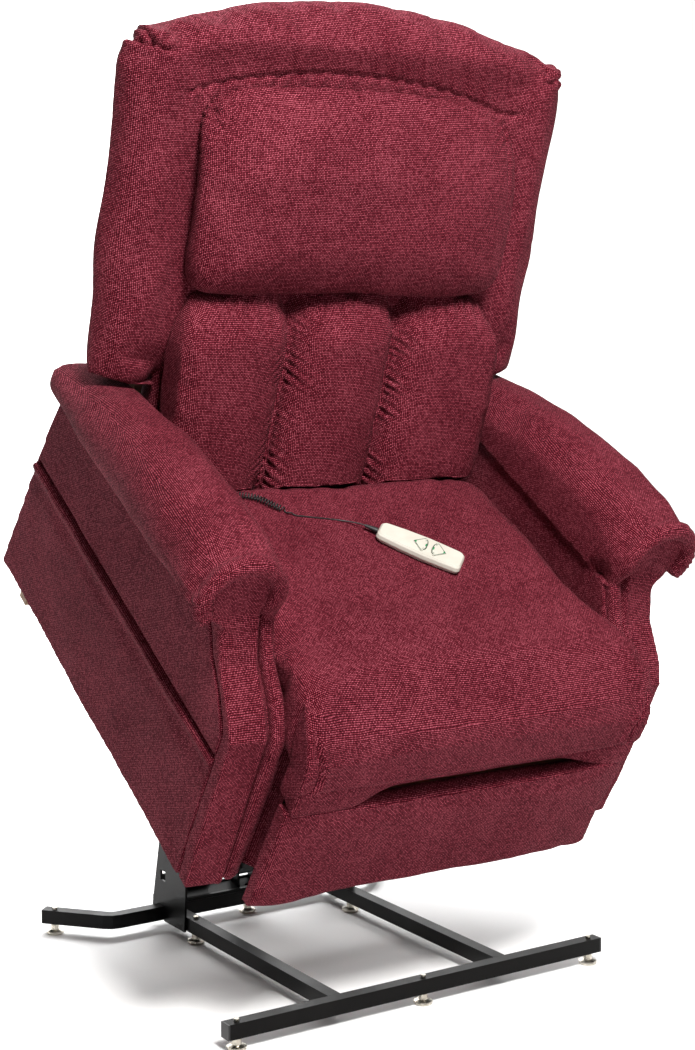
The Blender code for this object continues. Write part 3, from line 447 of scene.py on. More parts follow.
def copy_nodes(name, nodes, voxel, roll=None):
    """The CAD solids' shape, and any roll of padding along their edge, as one even mesh."""
    work = bmesh.new()
    for node in nodes:
        work.from_mesh(NODES[node].data)
    if roll is not None:
        roll_mesh(work, *roll)
    mesh = bpy.data.meshes.new(name)
    work.to_mesh(mesh)
    work.free()
    obj = link(name, mesh)
    remesh = obj.modifiers.new("remesh", "REMESH")
    remesh.mode = "VOXEL"
    remesh.voxel_size = voxel
    bake_modifiers(obj)
    obj.data.materials.clear()
    return obj


def relax(obj, times):
    smooth = obj.modifiers.new("relax", "SMOOTH")
    smooth.iterations = times
    smooth.factor = 0.5
    bake_modifiers(obj)


CLOTH_FRAMES = 14
CLOTH_PRESSURE = 4.0


def inflate(obj, travel):
    """Blows the cover up as cloth a little larger than its shape; no point moves beyond travel."""
    if not travel:
        return
    before = read(obj)
    cloth = obj.modifiers.new("cloth", "CLOTH")
    settings = cloth.settings
    settings.quality = 4
    settings.mass = 0.3
    settings.tension_stiffness = settings.compression_stiffness = 12
    settings.shear_stiffness = 5
    settings.bending_stiffness = 0.5
    settings.shrink_min = -0.03
    settings.use_pressure = True
    settings.uniform_pressure_force = CLOTH_PRESSURE
    settings.effector_weights.gravity = 0
    cloth.collision_settings.use_collision = False
    scene = bpy.context.scene
    for step in range(1, CLOTH_FRAMES + 1):
        scene.frame_set(step)
    bake_modifiers(obj)
    scene.frame_set(1)
    moved = read(obj) - before
    length = np.linalg.norm(moved, axis=1, keepdims=True)
    write(obj, before + moved * np.minimum(1, travel / np.maximum(length, 1e-9)))


def refine(obj):
    """One subdivision, for the detail that follows."""
    sub = obj.modifiers.new("subdivision", "SUBSURF")
    sub.levels = sub.render_levels = 1
    bake_modifiers(obj)


def dress(obj, material, body, nodes=()):
    """Gives a piece its one material and its body, and hides the CAD nodes it stands for."""
    obj.data.materials.clear()
    obj.data.materials.append(material)
    if obj.type == "MESH":
        obj.data.polygons.foreach_set("use_smooth", [True] * len(obj.data.polygons))
    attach(obj, body)
    if nodes:
        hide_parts(*nodes)
    return obj


def cushion(name, nodes, body, turned, voxel, travel, detail, shape=None, keep=None,
            smooth=2, roll=None):
    """A padded piece: its CAD solid shaped, blown up as cloth, held in its space, then sewn."""
    obj = copy_nodes(name, nodes, voxel, roll)
    if shape is not None:
        write(obj, shape(read(obj, turned)), turned)
    relax(obj, smooth)
    inflate(obj, travel)
    if keep is not None:
        write(obj, keep(read(obj, turned)), turned)
    refine(obj)
    write(obj, detail(read(obj, turned), normals(obj, turned)), turned)
    dress(obj, FABRIC_BACK if turned is BACK else FABRIC_CHAIR, body, nodes)
    return obj


def pucker(distance, along, pitch, reach, height, slant=0.6, seed=0.0):
    """Small creases that run off a seam: distance from it (signed), and how far along it."""
    off = np.abs(distance)
    side = np.where(distance > 0, 3.1, 0.0)  # so that the seam's two sides differ
    uneven = 0.55 + 0.45 * wander(along / (pitch * 2.3) + seed + side, seed + 4.4)
    drift = 2.2 * wander(along / pitch * 0.45 + seed, side)
    ridge = np.sin(2 * np.pi * (along + slant * off) / pitch + side + drift)
    ridge = np.sign(ridge) * np.abs(ridge) ** 0.8
    return height * uneven * ridge * np.exp(-off / reach) * rise(off, 0.0, 0.004)


# ---------------------------------------------------------------- soft goods: the pieces
def crease(a, b, angle, length, depth, width=0.0030):
    """A short pleat from a gathered point: a groove beside a ridge, at an angle in degrees."""
    c, s = math.cos(math.radians(angle)), math.sin(math.radians(angle))
    along, off = a * c + b * s, b * c - a * s
    run = rise(along, 0.0, 0.007) * (1 - rise(along, length * 0.45, length))
    return depth * run * (0.55 * bell(off, 2.6 * width, 1.9 * width) - bell(off, 0.0, width))


# Half widths and limits that keep each soft piece clear of the CAD around it
SEAT_HALF, NOSE_HALF = 0.3060, 0.3165
SEAT_UNDER, SEAT_FRONT, SEAT_REAR = 0.2050, -0.0620, 0.4985
LEGREST_HALF, LEGREST_FRONT, LEGREST_REAR = 0.3175, -0.0640, -0.0306
LEGREST_LOW, LEGREST_HIGH = -0.008, 0.1950
NECK_HALF, WING_HALF, RING_REAR = 0.2995, 0.417, 0.0450
PILLOW_HALF, LUMBAR_HALF, BACK_FACE = 0.299, 0.302, -0.040
ARM_INNER, ARM_OUTER = 0.3075, 0.3440
PANEL_INNER, PANEL_OUTER = 0.3725, 0.412


def handset_rest(x, u):
    """1 where the handset and its cord lie on the seat, 0 away from them."""
    return rise(u, 0.10, 0.19) * (1 - rise(np.abs(x), 0.12, 0.24))


def seat_shape(co):
    """Crowned across, higher at the nose, and sunk at the rear sides."""
    x, u, v = co.T.copy()
    top = rise(v, 0.300, 0.350)
    side = np.clip(np.abs(x) / 0.300, 0, 1) ** 5
    drop = np.interp(u, [0.0, 0.10, 0.20, 0.30, 0.40, 0.49],
                     [-0.004, -0.002, 0.006, 0.013, 0.024, 0.034])
    v = v - top * side * drop
    v = v + top * 0.008 * bell(u, 0.035, 0.060) * rise(u, -0.05, 0.02)
    return np.stack([x, u, v], 1)


def seat_keep(co):
    x, u, v = co.T.copy()
    v = smooth_cap(v, SEAT_TOP + 0.0018 + (1 - handset_rest(x, u)) * 0.012)
    limit = mix(NOSE_HALF, SEAT_HALF, rise(u, 0.035, 0.060))
    x = np.clip(x, -limit, limit)
    return np.stack([x, np.clip(u, SEAT_FRONT, SEAT_REAR), np.maximum(v, SEAT_UNDER)], 1)


def seat_detail(co, normal):
    """The boxed side seams of the nose, and a few creases where they start."""
    x, u, v = co.T
    front = 1 - rise(u, 0.02, 0.10)
    seam = np.abs(x) - 0.3075 + 0.0180 * bell(v, 0.262, 0.045)
    groove = 0.0030 * bell(seam, -0.009, 0.006) - 0.0070 * bell(seam, 0.0, 0.0032)
    groove = groove * front * (1 - rise(v, 0.315, 0.335))
    corner = np.hypot(np.abs(x) - 0.292, v - 0.268)
    gather = pucker(corner - 0.002, v * 1.2 + u, 0.016, 0.024, 0.0030)
    gather = gather * front * rise(np.abs(x), 0.24, 0.28)
    soft = 0.0020 * wander(x * 9 + 3, u * 9) + 0.0010 * wander(x * 23, u * 21 + 7)
    soft = soft * rise(v, 0.22, 0.30) * (1 - handset_rest(x, u))
    return co + normal * (groove + gather + soft)[:, None]


def build_seat():
    return cushion("seat_cushion_soft", ["seat_cushion"], "chair", CHAIR, 0.0075, 0.012,
                   seat_detail, shape=seat_shape, keep=seat_keep)


def legrest_shape(co):
    """The skirt under the nose, whose side edges fall back."""
    x, u, v = co.T.copy()
    side = np.clip(np.abs(x) / 0.316, 0, 1) ** 8
    return np.stack([x * 0.998, u + side * 0.010, v], 1)


def legrest_keep(co):
    x, u, v = co.T.copy()
    face = LEGREST_FRONT + 0.0050 * rise(v, 0.150, 0.190)
    u, v = np.clip(u, face, LEGREST_REAR), np.clip(v, LEGREST_LOW, LEGREST_HIGH)
    return np.stack([np.clip(x, -LEGREST_HALF, LEGREST_HALF), u, v], 1)


def legrest_detail(co, normal):
    x, u, v = co.T
    front = rise(-normal[:, 1], 0.2, 0.7)
    hang = 0.0022 * wander(x * 7 + 1, v * 4) + 0.0010 * wander(x * 19, v * 9 + 3)
    hem = 0.0018 * wander(x * 26 + 5, 0.4) * (1 - rise(v, 0.0, 0.035))
    return co + normal * ((hang + hem) * front)[:, None]


def build_legrest():
    cushion("footrest_pad_soft", ["footrest_pad"], "footrest", CHAIR, 0.006, 0.008,
            legrest_detail, shape=legrest_shape, keep=legrest_keep)
    build_fold()


def loft(name, rings, turned):
    """A closed skin through rings of points in a drawing frame."""
    count = len(rings[0])
    verts = [turned @ Vector(p) for ring in rings for p in ring]
    faces = []
    for i in range(len(rings) - 1):
        for j in range(count):
            k = (j + 1) % count
            faces.append((i * count + j, i * count + k, (i + 1) * count + k, (i + 1) * count + j))
    faces.append(tuple(range(count))[::-1])
    faces.append(tuple((len(rings) - 1) * count + j for j in range(count)))
    mesh = bpy.data.meshes.new(name)
    mesh.from_pydata(verts, [], faces)
    work = bmesh.new()
    work.from_mesh(mesh)
    bmesh.ops.recalc_face_normals(work, faces=work.faces)
    work.to_mesh(mesh)
    work.free()
    return link(name, mesh)


def build_fold():
    """The slack between nose and footrest: level with both at the ends, tucked in between."""
    rings = []
    for step in range(65):
        x = -0.3135 + 0.627 * step / 64
        tuck = float(1 - rise(abs(x - 0.030), 0.15, 0.25))
        face = -0.0605 + 0.0200 * tuck + 0.0010 * float(wander(x * 30, 0.7))
        low, high = 0.1860 + 0.0132 * tuck, 0.2460 - 0.010 * tuck
        outline = ((face + 0.005, low), (face, low + 0.006), (face - 0.0005, 0.216),
                   (face, high - 0.008), (face + 0.006, high), (-0.014, high),
                   (-0.014, 0.1992), (-0.034, 0.1992))
        rings.append([(x, u, v) for u, v in outline])
    fold = loft("seat_fold_soft", rings, CHAIR)
    refine(fold)
    dress(fold, FABRIC_CHAIR, "chair")
    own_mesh(fold)


def build_gussets():
    """Fabric-covered inner fronts, set back beside the footrest."""
    outline = ((0.336, 0.0), (0.2800, 0.0), (0.2800, -0.036), (0.2765, -0.036),
               (0.2765, 0.006), (0.336, 0.006))
    for side, name in ((-1, "left"), (1, "right")):
        rings = []
        for v in np.linspace(0.012, 0.262, 20):
            u = 0.034 + 0.045 * v
            rings.append([(side * x, u + dy + 0.0015 * float(wander(v * 22, x * 40)), v)
                          for x, dy in outline])
        gusset = loft(f"front_gusset_{name}", rings, CHAIR)
        refine(gusset)
        dress(gusset, FABRIC_CHAIR, "chair")


def build_valance():
    """The cloth that hangs from the front rail behind the footrest."""
    row = np.linspace(-0.277, 0.277, 24)
    outline = [(x, 0.0) for x in row] + [(x, 0.003) for x in np.linspace(0.277, -0.277, 24)]
    rings = []
    for v in np.linspace(0.166, 0.252, 12):
        u = 0.038 + 0.045 * (v - 0.13)
        rings.append([(x, u + dy + 0.0015 * float(wander(v * 22, x * 12)), v)
                      for x, dy in outline])
    valance = loft("front_valance", rings, CHAIR)
    dress(valance, FABRIC_CHAIR, "chair")


def ring_shape(co):
    """Full wings: the front rolls over at the top and sides."""
    x, t, s = co.T.copy()
    front = rise(-t, 0.010, 0.040)
    border = np.maximum(bell(s, 0.775, 0.040), bell(np.abs(x), 0.350, 0.040))
    t = t - (0.020 * border - 0.004) * front
    s = s - 0.018 * (1 - rise(s, 0.247, 0.340)) * rise(np.abs(x), 0.300, 0.315)
    return np.stack([x, t, s], 1)


def ring_keep(co):
    x, t, s = co.T.copy()
    limit = mix(NECK_HALF, WING_HALF, rise(s, 0.225, 0.240))
    return np.stack([np.clip(x, -limit, limit), np.minimum(t, RING_REAR), s], 1)


def ring_detail(co, normal):
    """Gathered corners, sewn-in pleats above the pillow, and faint pulls down the wings."""
    x, t, s = co.T
    total = np.zeros(len(co))
    for side in (-1, 1):
        dx, ds = side * x - 0.398, s - 0.778
        away = np.sqrt(dx ** 2 + ds ** 2 + (t + 0.030) ** 2)
        angle = np.arctan2(ds, -dx)
        fold = np.sin(angle * 5 + 0.8 * side + 1.2 * wander(away * 16, side * 3.0)) - 0.5
        total += 0.0090 * fold * rise(away, 0.012, 0.034) * np.exp(-away / 0.050) * (side * x > 0)
    over = rise(s, 0.70, 0.73) * (1 - rise(s, 0.79, 0.84)) * (1 - rise(np.abs(x), 0.30, 0.36))
    total += 0.0030 * over * wander(x * 20 + s * 9, s * 5) * rise(-t, 0.0, 0.03)
    wing = rise(np.abs(x), 0.30, 0.34) * (1 - rise(s, 0.70, 0.76))
    total += 0.0042 * wing * wander(np.abs(x) * 17 + s * 9, s * 5 + 2)
    for angle in (-4, 36, 118, 168):
        total += crease(0.374 - np.abs(x), s - 0.742, angle, 0.040, 0.0075) * rise(-t, 0.0, 0.02)
    total += 0.0014 * wander(x * 11, s * 11 + t * 9)
    edge = rise(np.maximum(np.abs(x) - 0.350, s - 0.740), 0.0, 0.02)
    total += -0.0070 * bell(t, 0.012, 0.0045) * edge
    valley = s - (0.7245 - 0.042 * np.clip(np.abs(x + 0.02) / 0.29, 0, 1) ** 2.2)
    facing = rise(-t, 0.020, 0.045) * (1 - rise(np.abs(x), 0.30, 0.33))
    gather = pucker(valley, x, 0.030, 0.030, 0.0036, slant=0.4, seed=6.0)
    total += (-0.0050 * bell(valley, 0.0, 0.0045) + gather) * facing
    return co + normal * total[:, None]


def build_ring():
    cushion("back_pad_soft", ["back_pad"], "backrest", BACK, 0.0065, 0.014, ring_detail,
            shape=ring_shape, keep=ring_keep, smooth=5)


# the pillow's relative depth, by height up the back
PILLOW_DEPTH = ((0.378, 0.395, 0.43, 0.50, 0.58, 0.63, 0.67, 0.695, 0.712),
                (0.74, 0.91, 1.03, 1.02, 0.94, 0.76, 0.48, 0.24, 0.04))
PILLOW_LOW, PILLOW_MIDDLE, PILLOW_HIGH = 0.378, 0.50, 0.712


def pillow_arch(across):
    """How far the top edge falls towards the corners."""
    return 0.030 * np.clip(across / 0.286, 0, 1) ** 2.4


def pillow_shape(co):
    """An arched top that thins out into the back, and a lower edge that turns under."""
    x, t, s = co.T.copy()
    across = np.clip(np.abs(x) / 0.286, 0, 1)
    high, low = rise(s, PILLOW_MIDDLE, PILLOW_HIGH), 1 - rise(s, PILLOW_LOW, PILLOW_MIDDLE)
    depth = np.interp(s, *PILLOW_DEPTH)
    s = s - high * pillow_arch(np.abs(x)) + low * 0.012 * (1 - across ** 2)
    t = -0.0555 + (t + 0.0555) * (1 + (depth - 1) * rise(-t, 0.0565, 0.075))
    return np.stack([x, t, s], 1)


def pillow_keep(co):
    x, t, s = co.T.copy()
    deepest = 0.0960 * np.interp(s + pillow_arch(np.abs(x)) * rise(s, 0.50, 0.68), *PILLOW_DEPTH)
    deepest = 0.0590 + deepest * (1 - 0.42 * np.clip(np.abs(x) / 0.290, 0, 1) ** 4)
    t = -smooth_cap(-t, deepest, 0.004)
    x = np.clip(x, -PILLOW_HALF, PILLOW_HALF)
    return np.stack([x, np.minimum(t, BACK_FACE), np.maximum(s, 0.368)], 1)


def pillow_detail(co, normal):
    """Gathers at the two upper corners, and slack diagonal pulls under the top seam."""
    x, t, s = co.T
    across = np.abs(x)
    corner = np.hypot(across - 0.270, s - 0.655)
    gather = pucker(corner - 0.001, s - across * 0.4, 0.014, 0.030, 0.0048, slant=0.2, seed=2.0)
    gather = gather * rise(corner, 0.002, 0.010) * (1 - rise(corner, 0.05, 0.09))
    pull = 0.0026 * wander((x + s) * 15, (s - x) * 4) * rise(s, 0.61, 0.67)
    soft = 0.0016 * wander(x * 8 + 2, s * 8) + 0.0008 * wander(x * 27, s * 25)
    lower = 0.0022 * wander(x * 21, 0.2) * (1 - rise(s, 0.385, 0.43))
    for angle in (-78, -50, -22, 12):
        gather += crease(0.276 - across, s - 0.664, angle, 0.026, 0.0055) * rise(-t, 0.060, 0.075)
    line = bell(across, 0.268, 0.004) * rise(-t, 0.075, 0.100)
    line = line * rise(s, 0.50, 0.60) * (1 - rise(s, 0.665, 0.70))
    return co + normal * (gather + pull + soft + lower - 0.0026 * line)[:, None]


def build_pillow():
    cushion("headrest_pillow_soft", ["headrest_pillow"], "backrest", BACK, 0.006, 0.014,
            pillow_detail, shape=pillow_shape, keep=pillow_keep)


SEAMS = (-0.106, 0.094)  # the lumbar pad's two sewn lines, at x where s is SEAM_LEVEL
SEAM_LEVEL, SEAM_SLANT = 0.235, 0.13


def seam_at(seam, s):
    return seam + SEAM_SLANT * (s - SEAM_LEVEL)


def lumbar_shape(co):
    """Three channels between drawn-in lines, widest half way up, the top tucked in."""
    x, t, s = co.T.copy()
    x = x * np.interp(s, [0.09, 0.14, 0.21, 0.28, 0.34, 0.376],
                      [0.94, 0.99, 1.02, 1.02, 0.98, 0.94])
    front = rise(-t, 0.07, 0.11)
    s = s - 0.040 * (1 - rise(s, 0.098, 0.22)) + 0.014 * rise(s, 0.34, 0.376)
    t = t + 0.040 * front * rise(s, 0.305, 0.385)
    for seam in SEAMS:
        t = t + 0.032 * front * bell(x, seam_at(seam, s), 0.018)
        t = t + 0.018 * front * bell(x, seam_at(seam, s), 0.055)
    return np.stack([x, t, s], 1)


def lumbar_keep(co):
    """Held above the seat and behind its rear edge, which are set in the chair's frame."""
    x, t, s = co.T.copy()
    cos, sin = math.cos(BACK_LEAN), math.sin(BACK_LEAN)
    u = BACK_U + t * cos + s * sin
    v = BACK_V + s * cos - t * sin
    v = np.maximum(v, np.interp(u, [0.470, 0.484, 0.494, 0.504], [0.3665, 0.3585, 0.3450, 0.3050]))
    t = (u - BACK_U) * cos - (v - BACK_V) * sin
    s = (u - BACK_U) * sin + (v - BACK_V) * cos
    return np.stack([np.clip(x, -LUMBAR_HALF, LUMBAR_HALF), np.minimum(t, BACK_FACE), s], 1)


def lumbar_detail(co, normal):
    """Puckers beside both sewn lines, in patches, and gathers under the pillow."""
    x, t, s = co.T
    total = 0.0018 * wander(x * 9 + 4, s * 9) + 0.0010 * wander(x * 26, s * 24)
    facing = rise(-t, 0.07, 0.10)
    for k, seam in enumerate(SEAMS):
        off = x - seam_at(seam, s) - 0.003 * wander(s * 14, k * 3.3)
        patchy = 0.30 + 0.70 * rise(wander(s * 26 + k * 7.0, 1.5 + np.sign(off)), -0.25, 0.30)
        total += pucker(off, s, 0.0135, 0.019, 0.0080, slant=0.55, seed=k * 5.1) * patchy * facing
        total += -0.0060 * bell(off, 0.0, 0.0045) * facing
    total += pucker(s - 0.384, x, 0.022, 0.030, 0.0038, slant=0.1, seed=8.0) * facing
    return co + normal * total[:, None]


def build_lumbar():
    cushion("lumbar_pad_soft", ["lumbar_pad"], "backrest", BACK, 0.0055, 0.012, lumbar_detail,
            shape=lumbar_shape, keep=lumbar_keep)


def arm_keep(co):
    """The slab that hangs inside the arm stays between the seat and the arm's frame."""
    x, u, v = co.T.copy()
    ax = np.abs(x)
    slab = (v < 0.400) & (ax < 0.345)
    ax = np.where(slab, np.clip(ax, ARM_INNER, ARM_OUTER), ax)
    return np.stack([np.sign(x) * ax, u, v], 1)


def arm_detail(co, normal):
    """Soft padding, gathered round the roll's front end."""
    x, u, v = co.T
    ax = np.abs(x)
    total = 0.0020 * wander(ax * 10 + 1, u * 9) + 0.0010 * wander(ax * 26, u * 22)
    nose = np.hypot(ax - 0.436, v - 0.432)
    gather = pucker(nose - 0.01, v + ax, 0.017, 0.026, 0.0040, seed=3.0)
    total += gather * (1 - rise(u, 0.15, 0.22)) * (ax > 0.38)
    return co + normal * total[:, None]


# the padded lip's way down the arm's inner front edge, as u and v
LIP_DOWN = ((0.1300, 0.410), (0.1080, 0.370), (0.0880, 0.347), (0.0620, 0.328), (0.0330, 0.303),
            (0.0160, 0.275), (0.0125, 0.200), (0.0080, 0.100), (0.0050, 0.014))
LIP_RADIUS = 0.0135


def build_arms():
    """One roll is simulated, with a lip round its front end, and the other is its mirror image."""
    lip = [chair(-0.3215, u + 0.008, v) for u, v in reversed(LIP_DOWN)]
    for step in range(15):
        angle = math.radians(196 - 232 * step / 14)
        lip.append(chair(-0.3830 - 0.0600 * math.cos(angle), 0.1265,
                         0.4560 + 0.0560 * math.sin(angle)))
    left = cushion("arm_pad_left_soft", ["arm_pad_left"], "chair", CHAIR, 0.006, 0.008,
                   arm_detail, keep=arm_keep, smooth=6, roll=(lip, LIP_RADIUS))
    mirror_of(left, "arm_pad_right_soft", ["arm_pad_right"])


def mirror_of(left, name, nodes):
    """The right-hand twin of a left piece."""
    work = bmesh.new()
    work.from_mesh(left.data)
    work.transform(Matrix.Scale(-1, 4, (1, 0, 0)))
    bmesh.ops.reverse_faces(work, faces=work.faces)
    mesh = bpy.data.meshes.new(name)
    work.to_mesh(mesh)
    work.free()
    obj = link(name, mesh)
    dress(obj, left.data.materials[0], left["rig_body"], nodes)
    return obj


def side_detail(co, normal):
    """The upholstered side: a turned seam, a pull line below it, and slight hollows."""
    x, u, v = co.T
    out = rise(np.abs(normal[:, 0]), 0.4, 0.9) * (np.abs(x) > 0.39)
    seam = v - (0.2295 + 0.0117 * u)
    total = -0.0095 * bell(seam, 0.0, 0.0042) + 0.0046 * bell(seam, -0.012, 0.008)
    total += -0.0016 * bell(seam, -0.034, 0.012) * (0.6 + 0.4 * wander(u * 6, 1.0))
    total += 0.0028 * wander(u * 5 + 2, v * 5) * rise(np.abs(seam), 0.02, 0.06)
    total += 0.0010 * wander(u * 17, v * 19)
    return co + normal * (total * out)[:, None]


def panel_keep(co):
    x, u, v = co.T.copy()
    ax = np.clip(np.abs(x), PANEL_INNER, PANEL_OUTER)
    return np.stack([np.sign(x) * ax, u, np.minimum(v, 0.409 - (u - 0.13) * 0.0689)], 1)


def build_side_panels():
    left = cushion("side_panel_left_soft", ["side_panel_left"], "chair", CHAIR, 0.005, 0,
                   side_detail, keep=panel_keep)
    mirror_of(left, "side_panel_right_soft", ["side_panel_right"])


def front_detail(co, normal):
    """The stile and scroll: a sewn line inside the edge, and soft fabric."""
    x, u, v = co.T
    ax = np.abs(x)
    stile = (v < 0.40) * rise(-normal[:, 1], 0.3, 0.8)
    total = -0.0036 * bell(ax, 0.337, 0.0035) * stile
    total += 0.0020 * bell(ax, 0.3300, 0.004) * stile + 0.0020 * bell(ax, 0.3440, 0.004) * stile
    total += 0.0014 * wander(ax * 12, v * 8) + 0.0008 * wander(ax * 30, v * 26)
    co = co + normal * total[:, None]
    inner = (1 - rise(ax, 0.333, 0.338)) * (1 - rise(u, 0.10, 0.13) * (v > 0.40))
    co[:, 1] += 0.009 * inner + 0.008 * rise(v, 0.400, 0.425)
    return co


def build_arm_fronts():
    left = cushion("arm_front_left_soft", ["arm_front_left"], "chair", CHAIR, 0.0045, 0,
                   front_detail, smooth=5)
    mirror_of(left, "arm_front_right_soft", ["arm_front_right"])


def rear_detail(co, normal):
    x, t, s = co.T
    total = 0.0018 * wander(x * 5 + 2, s * 5) + 0.0006 * wander(x * 19, s * 21)
    return co + normal * total[:, None]


def build_rear():
    cushion("back_outer_soft", ["back_outer_panel"], "backrest", BACK, 0.006, 0, rear_detail)
    cushion("rear_apron_soft", ["rear_apron"], "chair", CHAIR, 0.006, 0, rear_detail)


# ---------------------------------------------------------------- handset and its cord
HANDSET_TURN = math.radians(-134.4)
HANDSET = (CHAIR @ Matrix.Translation((0.046, 0.285, SEAT_TOP + 0.0006))
           @ Matrix.Rotation(HANDSET_TURN, 4, "Z"))
# beyond half of the handset's length, its strain relief and a hair's gap
CORD_EXIT = Vector((0.0, -0.0715 - 0.022 - 0.0003, 0.0090))
CORD_DIAMETER = 0.0022
CURL_RADIUS = 0.0046
CURL_PITCH = 0.0047
TIGHTEST = 2.06 * CORD_DIAMETER
# part.py's route over the seat, as x and u in the chair's frame
STRAIGHT_ROUTE = [(-0.055, 0.376), (-0.092, 0.386), (-0.124, 0.394)]
CURL_ROUTE = [(-0.152, 0.412), (-0.186, 0.440), (-0.235, 0.452), (-0.280, 0.448)]


def on_seat(seat, x, u, above):
    """The point this far above the cushion's cover."""
    down = CHAIR.to_3x3() @ Vector((0.0, 0.0, -1.0))
    hit, place, _, _ = seat.ray_cast(chair(x, u, 0.45), down)
    return place - down * above if hit else chair(x, u, SEAT_TOP + above)


def smooth_route(points, step):
    """Catmull-Rom through the points, resampled evenly."""
    ends = [points[0] * 2 - points[1]] + list(points) + [points[-1] * 2 - points[-2]]
    dense = []
    for a, b, c, d in zip(ends, ends[1:], ends[2:], ends[3:]):
        for k in range(60):
            t = k / 60
            dense.append(0.5 * (2 * b + (c - a) * t + (2 * a - 5 * b + 4 * c - d) * t ** 2
                                + (3 * b - a - 3 * c + d) * t ** 3))
    dense.append(points[-1])
    rows = np.array([tuple(p) for p in dense])
    along = np.concatenate([[0], np.cumsum(np.linalg.norm(np.diff(rows, axis=0), axis=1))])
    places = np.linspace(0, along[-1], max(2, round(along[-1] / step)))
    return np.stack([np.interp(places, along, rows[:, k]) for k in range(3)], 1)


def curled(axis):
    """A helix that opens out of the axis and closes back into it, with no bend under TIGHTEST."""
    along = np.concatenate([[0], np.cumsum(np.linalg.norm(np.diff(axis, axis=0), axis=1))])
    total, taper = along[-1], 0.030
    least = CURL_PITCH / (2 * math.pi)
    up = np.array(tuple(CHAIR.to_3x3() @ Vector((0.0, 0.0, 1.0))))
    points, place, angle = [], 0.0, 0.0
    while place < total:
        radius = CURL_RADIUS * float(rise(min(place, total - place), 0.0, taper))
        advance = max(math.sqrt(max(TIGHTEST * radius - radius ** 2, 0.0)) * 1.25, least)
        centre = np.array([np.interp(place, along, axis[:, k]) for k in range(3)])
        ahead = np.array([np.interp(place + 0.002, along, axis[:, k]) for k in range(3)])
        behind = np.array([np.interp(place - 0.002, along, axis[:, k]) for k in range(3)])
        forward = (ahead - behind) / np.linalg.norm(ahead - behind)
        side = np.cross(forward, up)
        side /= np.linalg.norm(side)
        over = np.cross(side, forward)
        points.append(centre + radius * (math.cos(angle) * side + math.sin(angle) * over))
        turn = 2 * math.pi / 16 if radius > 0.0003 else 0.5
        angle += turn
        place += min(advance, 0.0035) * turn
    return points


def tube(name, kind, points, radius, roundness):
    """A round curve through some points, and its one spline."""
    curve = bpy.data.curves.new(name, "CURVE")
    curve.dimensions = "3D"
    curve.bevel_depth = radius
    curve.bevel_resolution = roundness
    spline = curve.splines.new(kind)
    spline.points.add(len(points) - 1)
    for spot, point in zip(spline.points, points):
        spot.co = (*point, 1.0)
    return curve, spline


def build_cord(seat):
    """From the handset across the seat, then curled, and down beside the left arm."""
    start = HANDSET @ CORD_EXIT
    lead = [start, HANDSET @ (CORD_EXIT + Vector((0.0, -0.010, -0.0008)))]
    lead += [on_seat(seat, x, u, CORD_DIAMETER / 2 + 0.0004) for x, u in STRAIGHT_ROUTE]
    flat = smooth_route(lead, 0.006)
    lift = CURL_RADIUS + CORD_DIAMETER / 2 + 0.0003
    axis = [Vector(flat[-1])] + [on_seat(seat, x, u, lift) for x, u in CURL_ROUTE]
    axis += [on_seat(seat, -0.300, 0.442, 0.002), on_seat(seat, -0.3045, 0.438, -0.012)]
    points = list(flat[:-1]) + curled(smooth_route(axis, 0.002))
    curve, spline = tube("handset_lead", "NURBS", points, CORD_DIAMETER / 2, 4)
    curve.use_fill_caps = True
    spline.order_u = 4
    spline.use_endpoint_u = True
    spline.resolution_u = 3
    cord = dress(link(curve.name, curve), BLACK, "chair",
                 ["handset_cord", "handset_cord_curl"])


def top_loop(node, turned):
    """The outline of a node's top face, in order, in a drawing frame."""
    inverse = turned.inverted()
    points = {tuple(round(c, 6) for c in inverse @ v.co) for v in NODES[node].data.vertices}
    highest = max(z for _, _, z in points)
    top = [p for p in points if highest - p[2] < 1e-5]
    middle = sum(y for _, y, _ in top) / len(top)
    return sorted(top, key=lambda p: math.atan2(p[1] - middle, p[0]))


def inset(loop, distance):
    """The loop's corners moved inward along their mitres; the loop runs anticlockwise."""
    moved = []
    for before, at, after in zip(loop[-1:] + loop[:-1], loop, loop[1:] + loop[:1]):
        sides = []
        for a, b in ((before, at), (at, after)):
            run = Vector((b[0] - a[0], b[1] - a[1])).normalized()
            sides.append(Vector((-run.y, run.x)))
        mitre = (sides[0] + sides[1]) / (1 + sides[0].dot(sides[1]))
        moved.append((at[0] + distance * mitre.x, at[1] + distance * mitre.y))
    return moved


KEY_LINE_RADIUS, KEY_INSET, MARK_HEIGHT = 0.0007, 0.0008, 0.0003


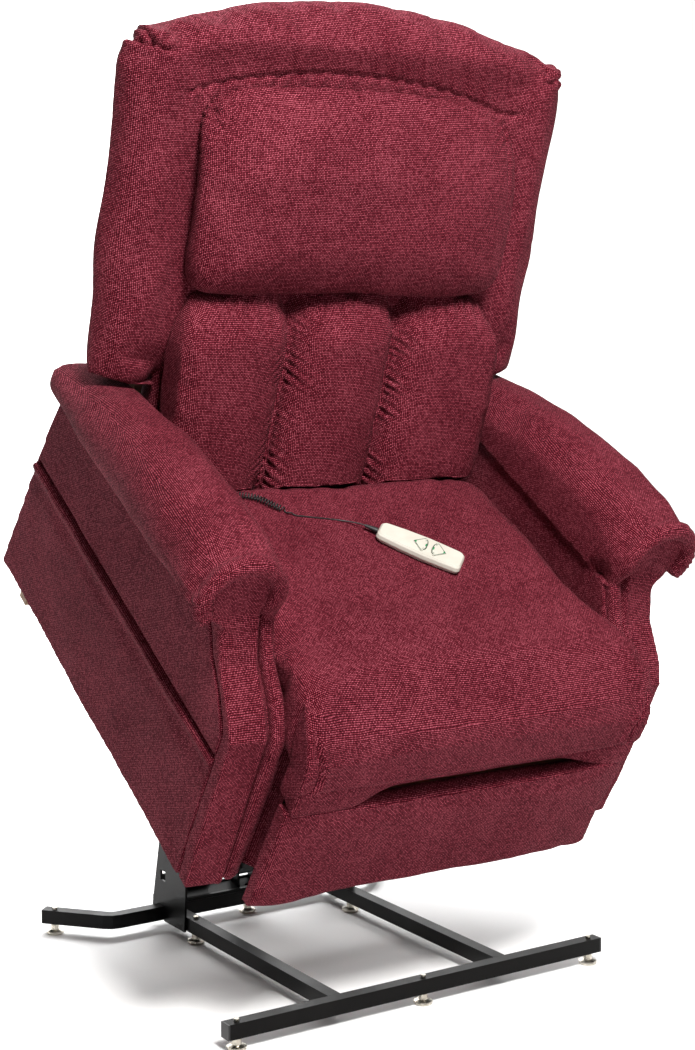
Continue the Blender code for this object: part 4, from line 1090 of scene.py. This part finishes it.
def build_keys():
    """A thin printed outline round each arrow key, and bright marks at its tip and its tail."""
    for node in ("button_up", "button_down"):
        loop = top_loop(node, HANDSET)
        top = loop[0][2]
        centre = sum(y for _, y, _ in loop) / len(loop)
        tip = max(loop, key=lambda p: abs(p[1] - centre) - 5 * abs(p[0]))
        way = math.copysign(1.0, tip[1] - centre)
        line = [HANDSET @ Vector((x, y, top)) for x, y in inset(loop, KEY_INSET)]
        curve, spline = tube(f"{node}_outline", "POLY", line, KEY_LINE_RADIUS, 2)
        spline.use_cyclic_u = True
        dress(link(curve.name, curve), KEY_LINE, node)
        tail = min(loop, key=lambda p: way * (p[1] - centre))[1]
        # each mark's corners, as x and the way in from the tip or the tail
        marks = (("tip", tip[1], -way, ((0.0, 0.0012), (-0.0050, 0.0046), (0.0050, 0.0046))),
                 ("tail", tail, way, ((-0.0042, 0.0014), (0.0042, 0.0014), (0.0030, 0.0034),
                                      (-0.0030, 0.0034))))
        for at, end, inward, corners in marks:
            outline = [(x, end + inward * y, top) for x, y in corners]
            mark = raised(f"{node}_{at}_mark", outline, MARK_HEIGHT)
            dress(mark, KEY_GREEN, node)


def raised(name, outline, height):
    """A thin flat patch standing on the handset."""
    work = bmesh.new()
    face = work.faces.new([work.verts.new(HANDSET @ Vector(p)) for p in outline])
    out = bmesh.ops.extrude_face_region(work, geom=[face])["geom"]
    up = HANDSET.to_3x3() @ Vector((0.0, 0.0, height))
    bmesh.ops.translate(work, verts=[v for v in out if isinstance(v, bmesh.types.BMVert)], vec=up)
    bmesh.ops.recalc_face_normals(work, faces=work.faces)
    mesh = bpy.data.meshes.new(name)
    work.to_mesh(mesh)
    work.free()
    return link(name, mesh)


def dress_nodes():
    """Every CAD node takes the material of its own slot."""
    slots = {row["node"]: row["material_slot"] for row in frame["record"]["subparts"]}
    for name, obj in NODES.items():
        obj.data.materials.clear()
        obj.data.materials.append(BY_SLOT[slots[name]])


build_camera()
build_studio()
FABRIC_CHAIR = fabric_material("tweed_chair", CHAIR.to_3x3())
FABRIC_BACK = fabric_material("tweed_back", BACK.to_3x3())
BLACK = plastic_material("black_plastic_finish", (0.0075, 0.0075, 0.0080),
                         (0.018, 0.018, 0.018), 0.42, 1500.0)
IVORY = plastic_material("ivory_plastic_finish", (0.56, 0.535, 0.465),
                         (0.62, 0.600, 0.530), 0.34, 1800.0)
KEY_LINE = plastic_material("key_line", (0.035, 0.085, 0.050), (0.060, 0.120, 0.075), 0.5, 1500.0)
KEY_GREEN = plastic_material("key_green", (0.015, 0.26, 0.09), (0.030, 0.34, 0.12), 0.45, 1500.0)
BY_SLOT = {"fabric": FABRIC_CHAIR, "steel": steel_material(), "plated": plated_material(),
           "black_plastic": BLACK, "ivory_plastic": IVORY, "wood": wood_material()}
dress_nodes()
seat_cover = build_seat()
build_legrest()
build_gussets()
build_valance()
build_ring()
build_pillow()
build_lumbar()
build_arms()
build_side_panels()
build_arm_fronts()
build_rear()
build_cord(seat_cover)
build_keys()
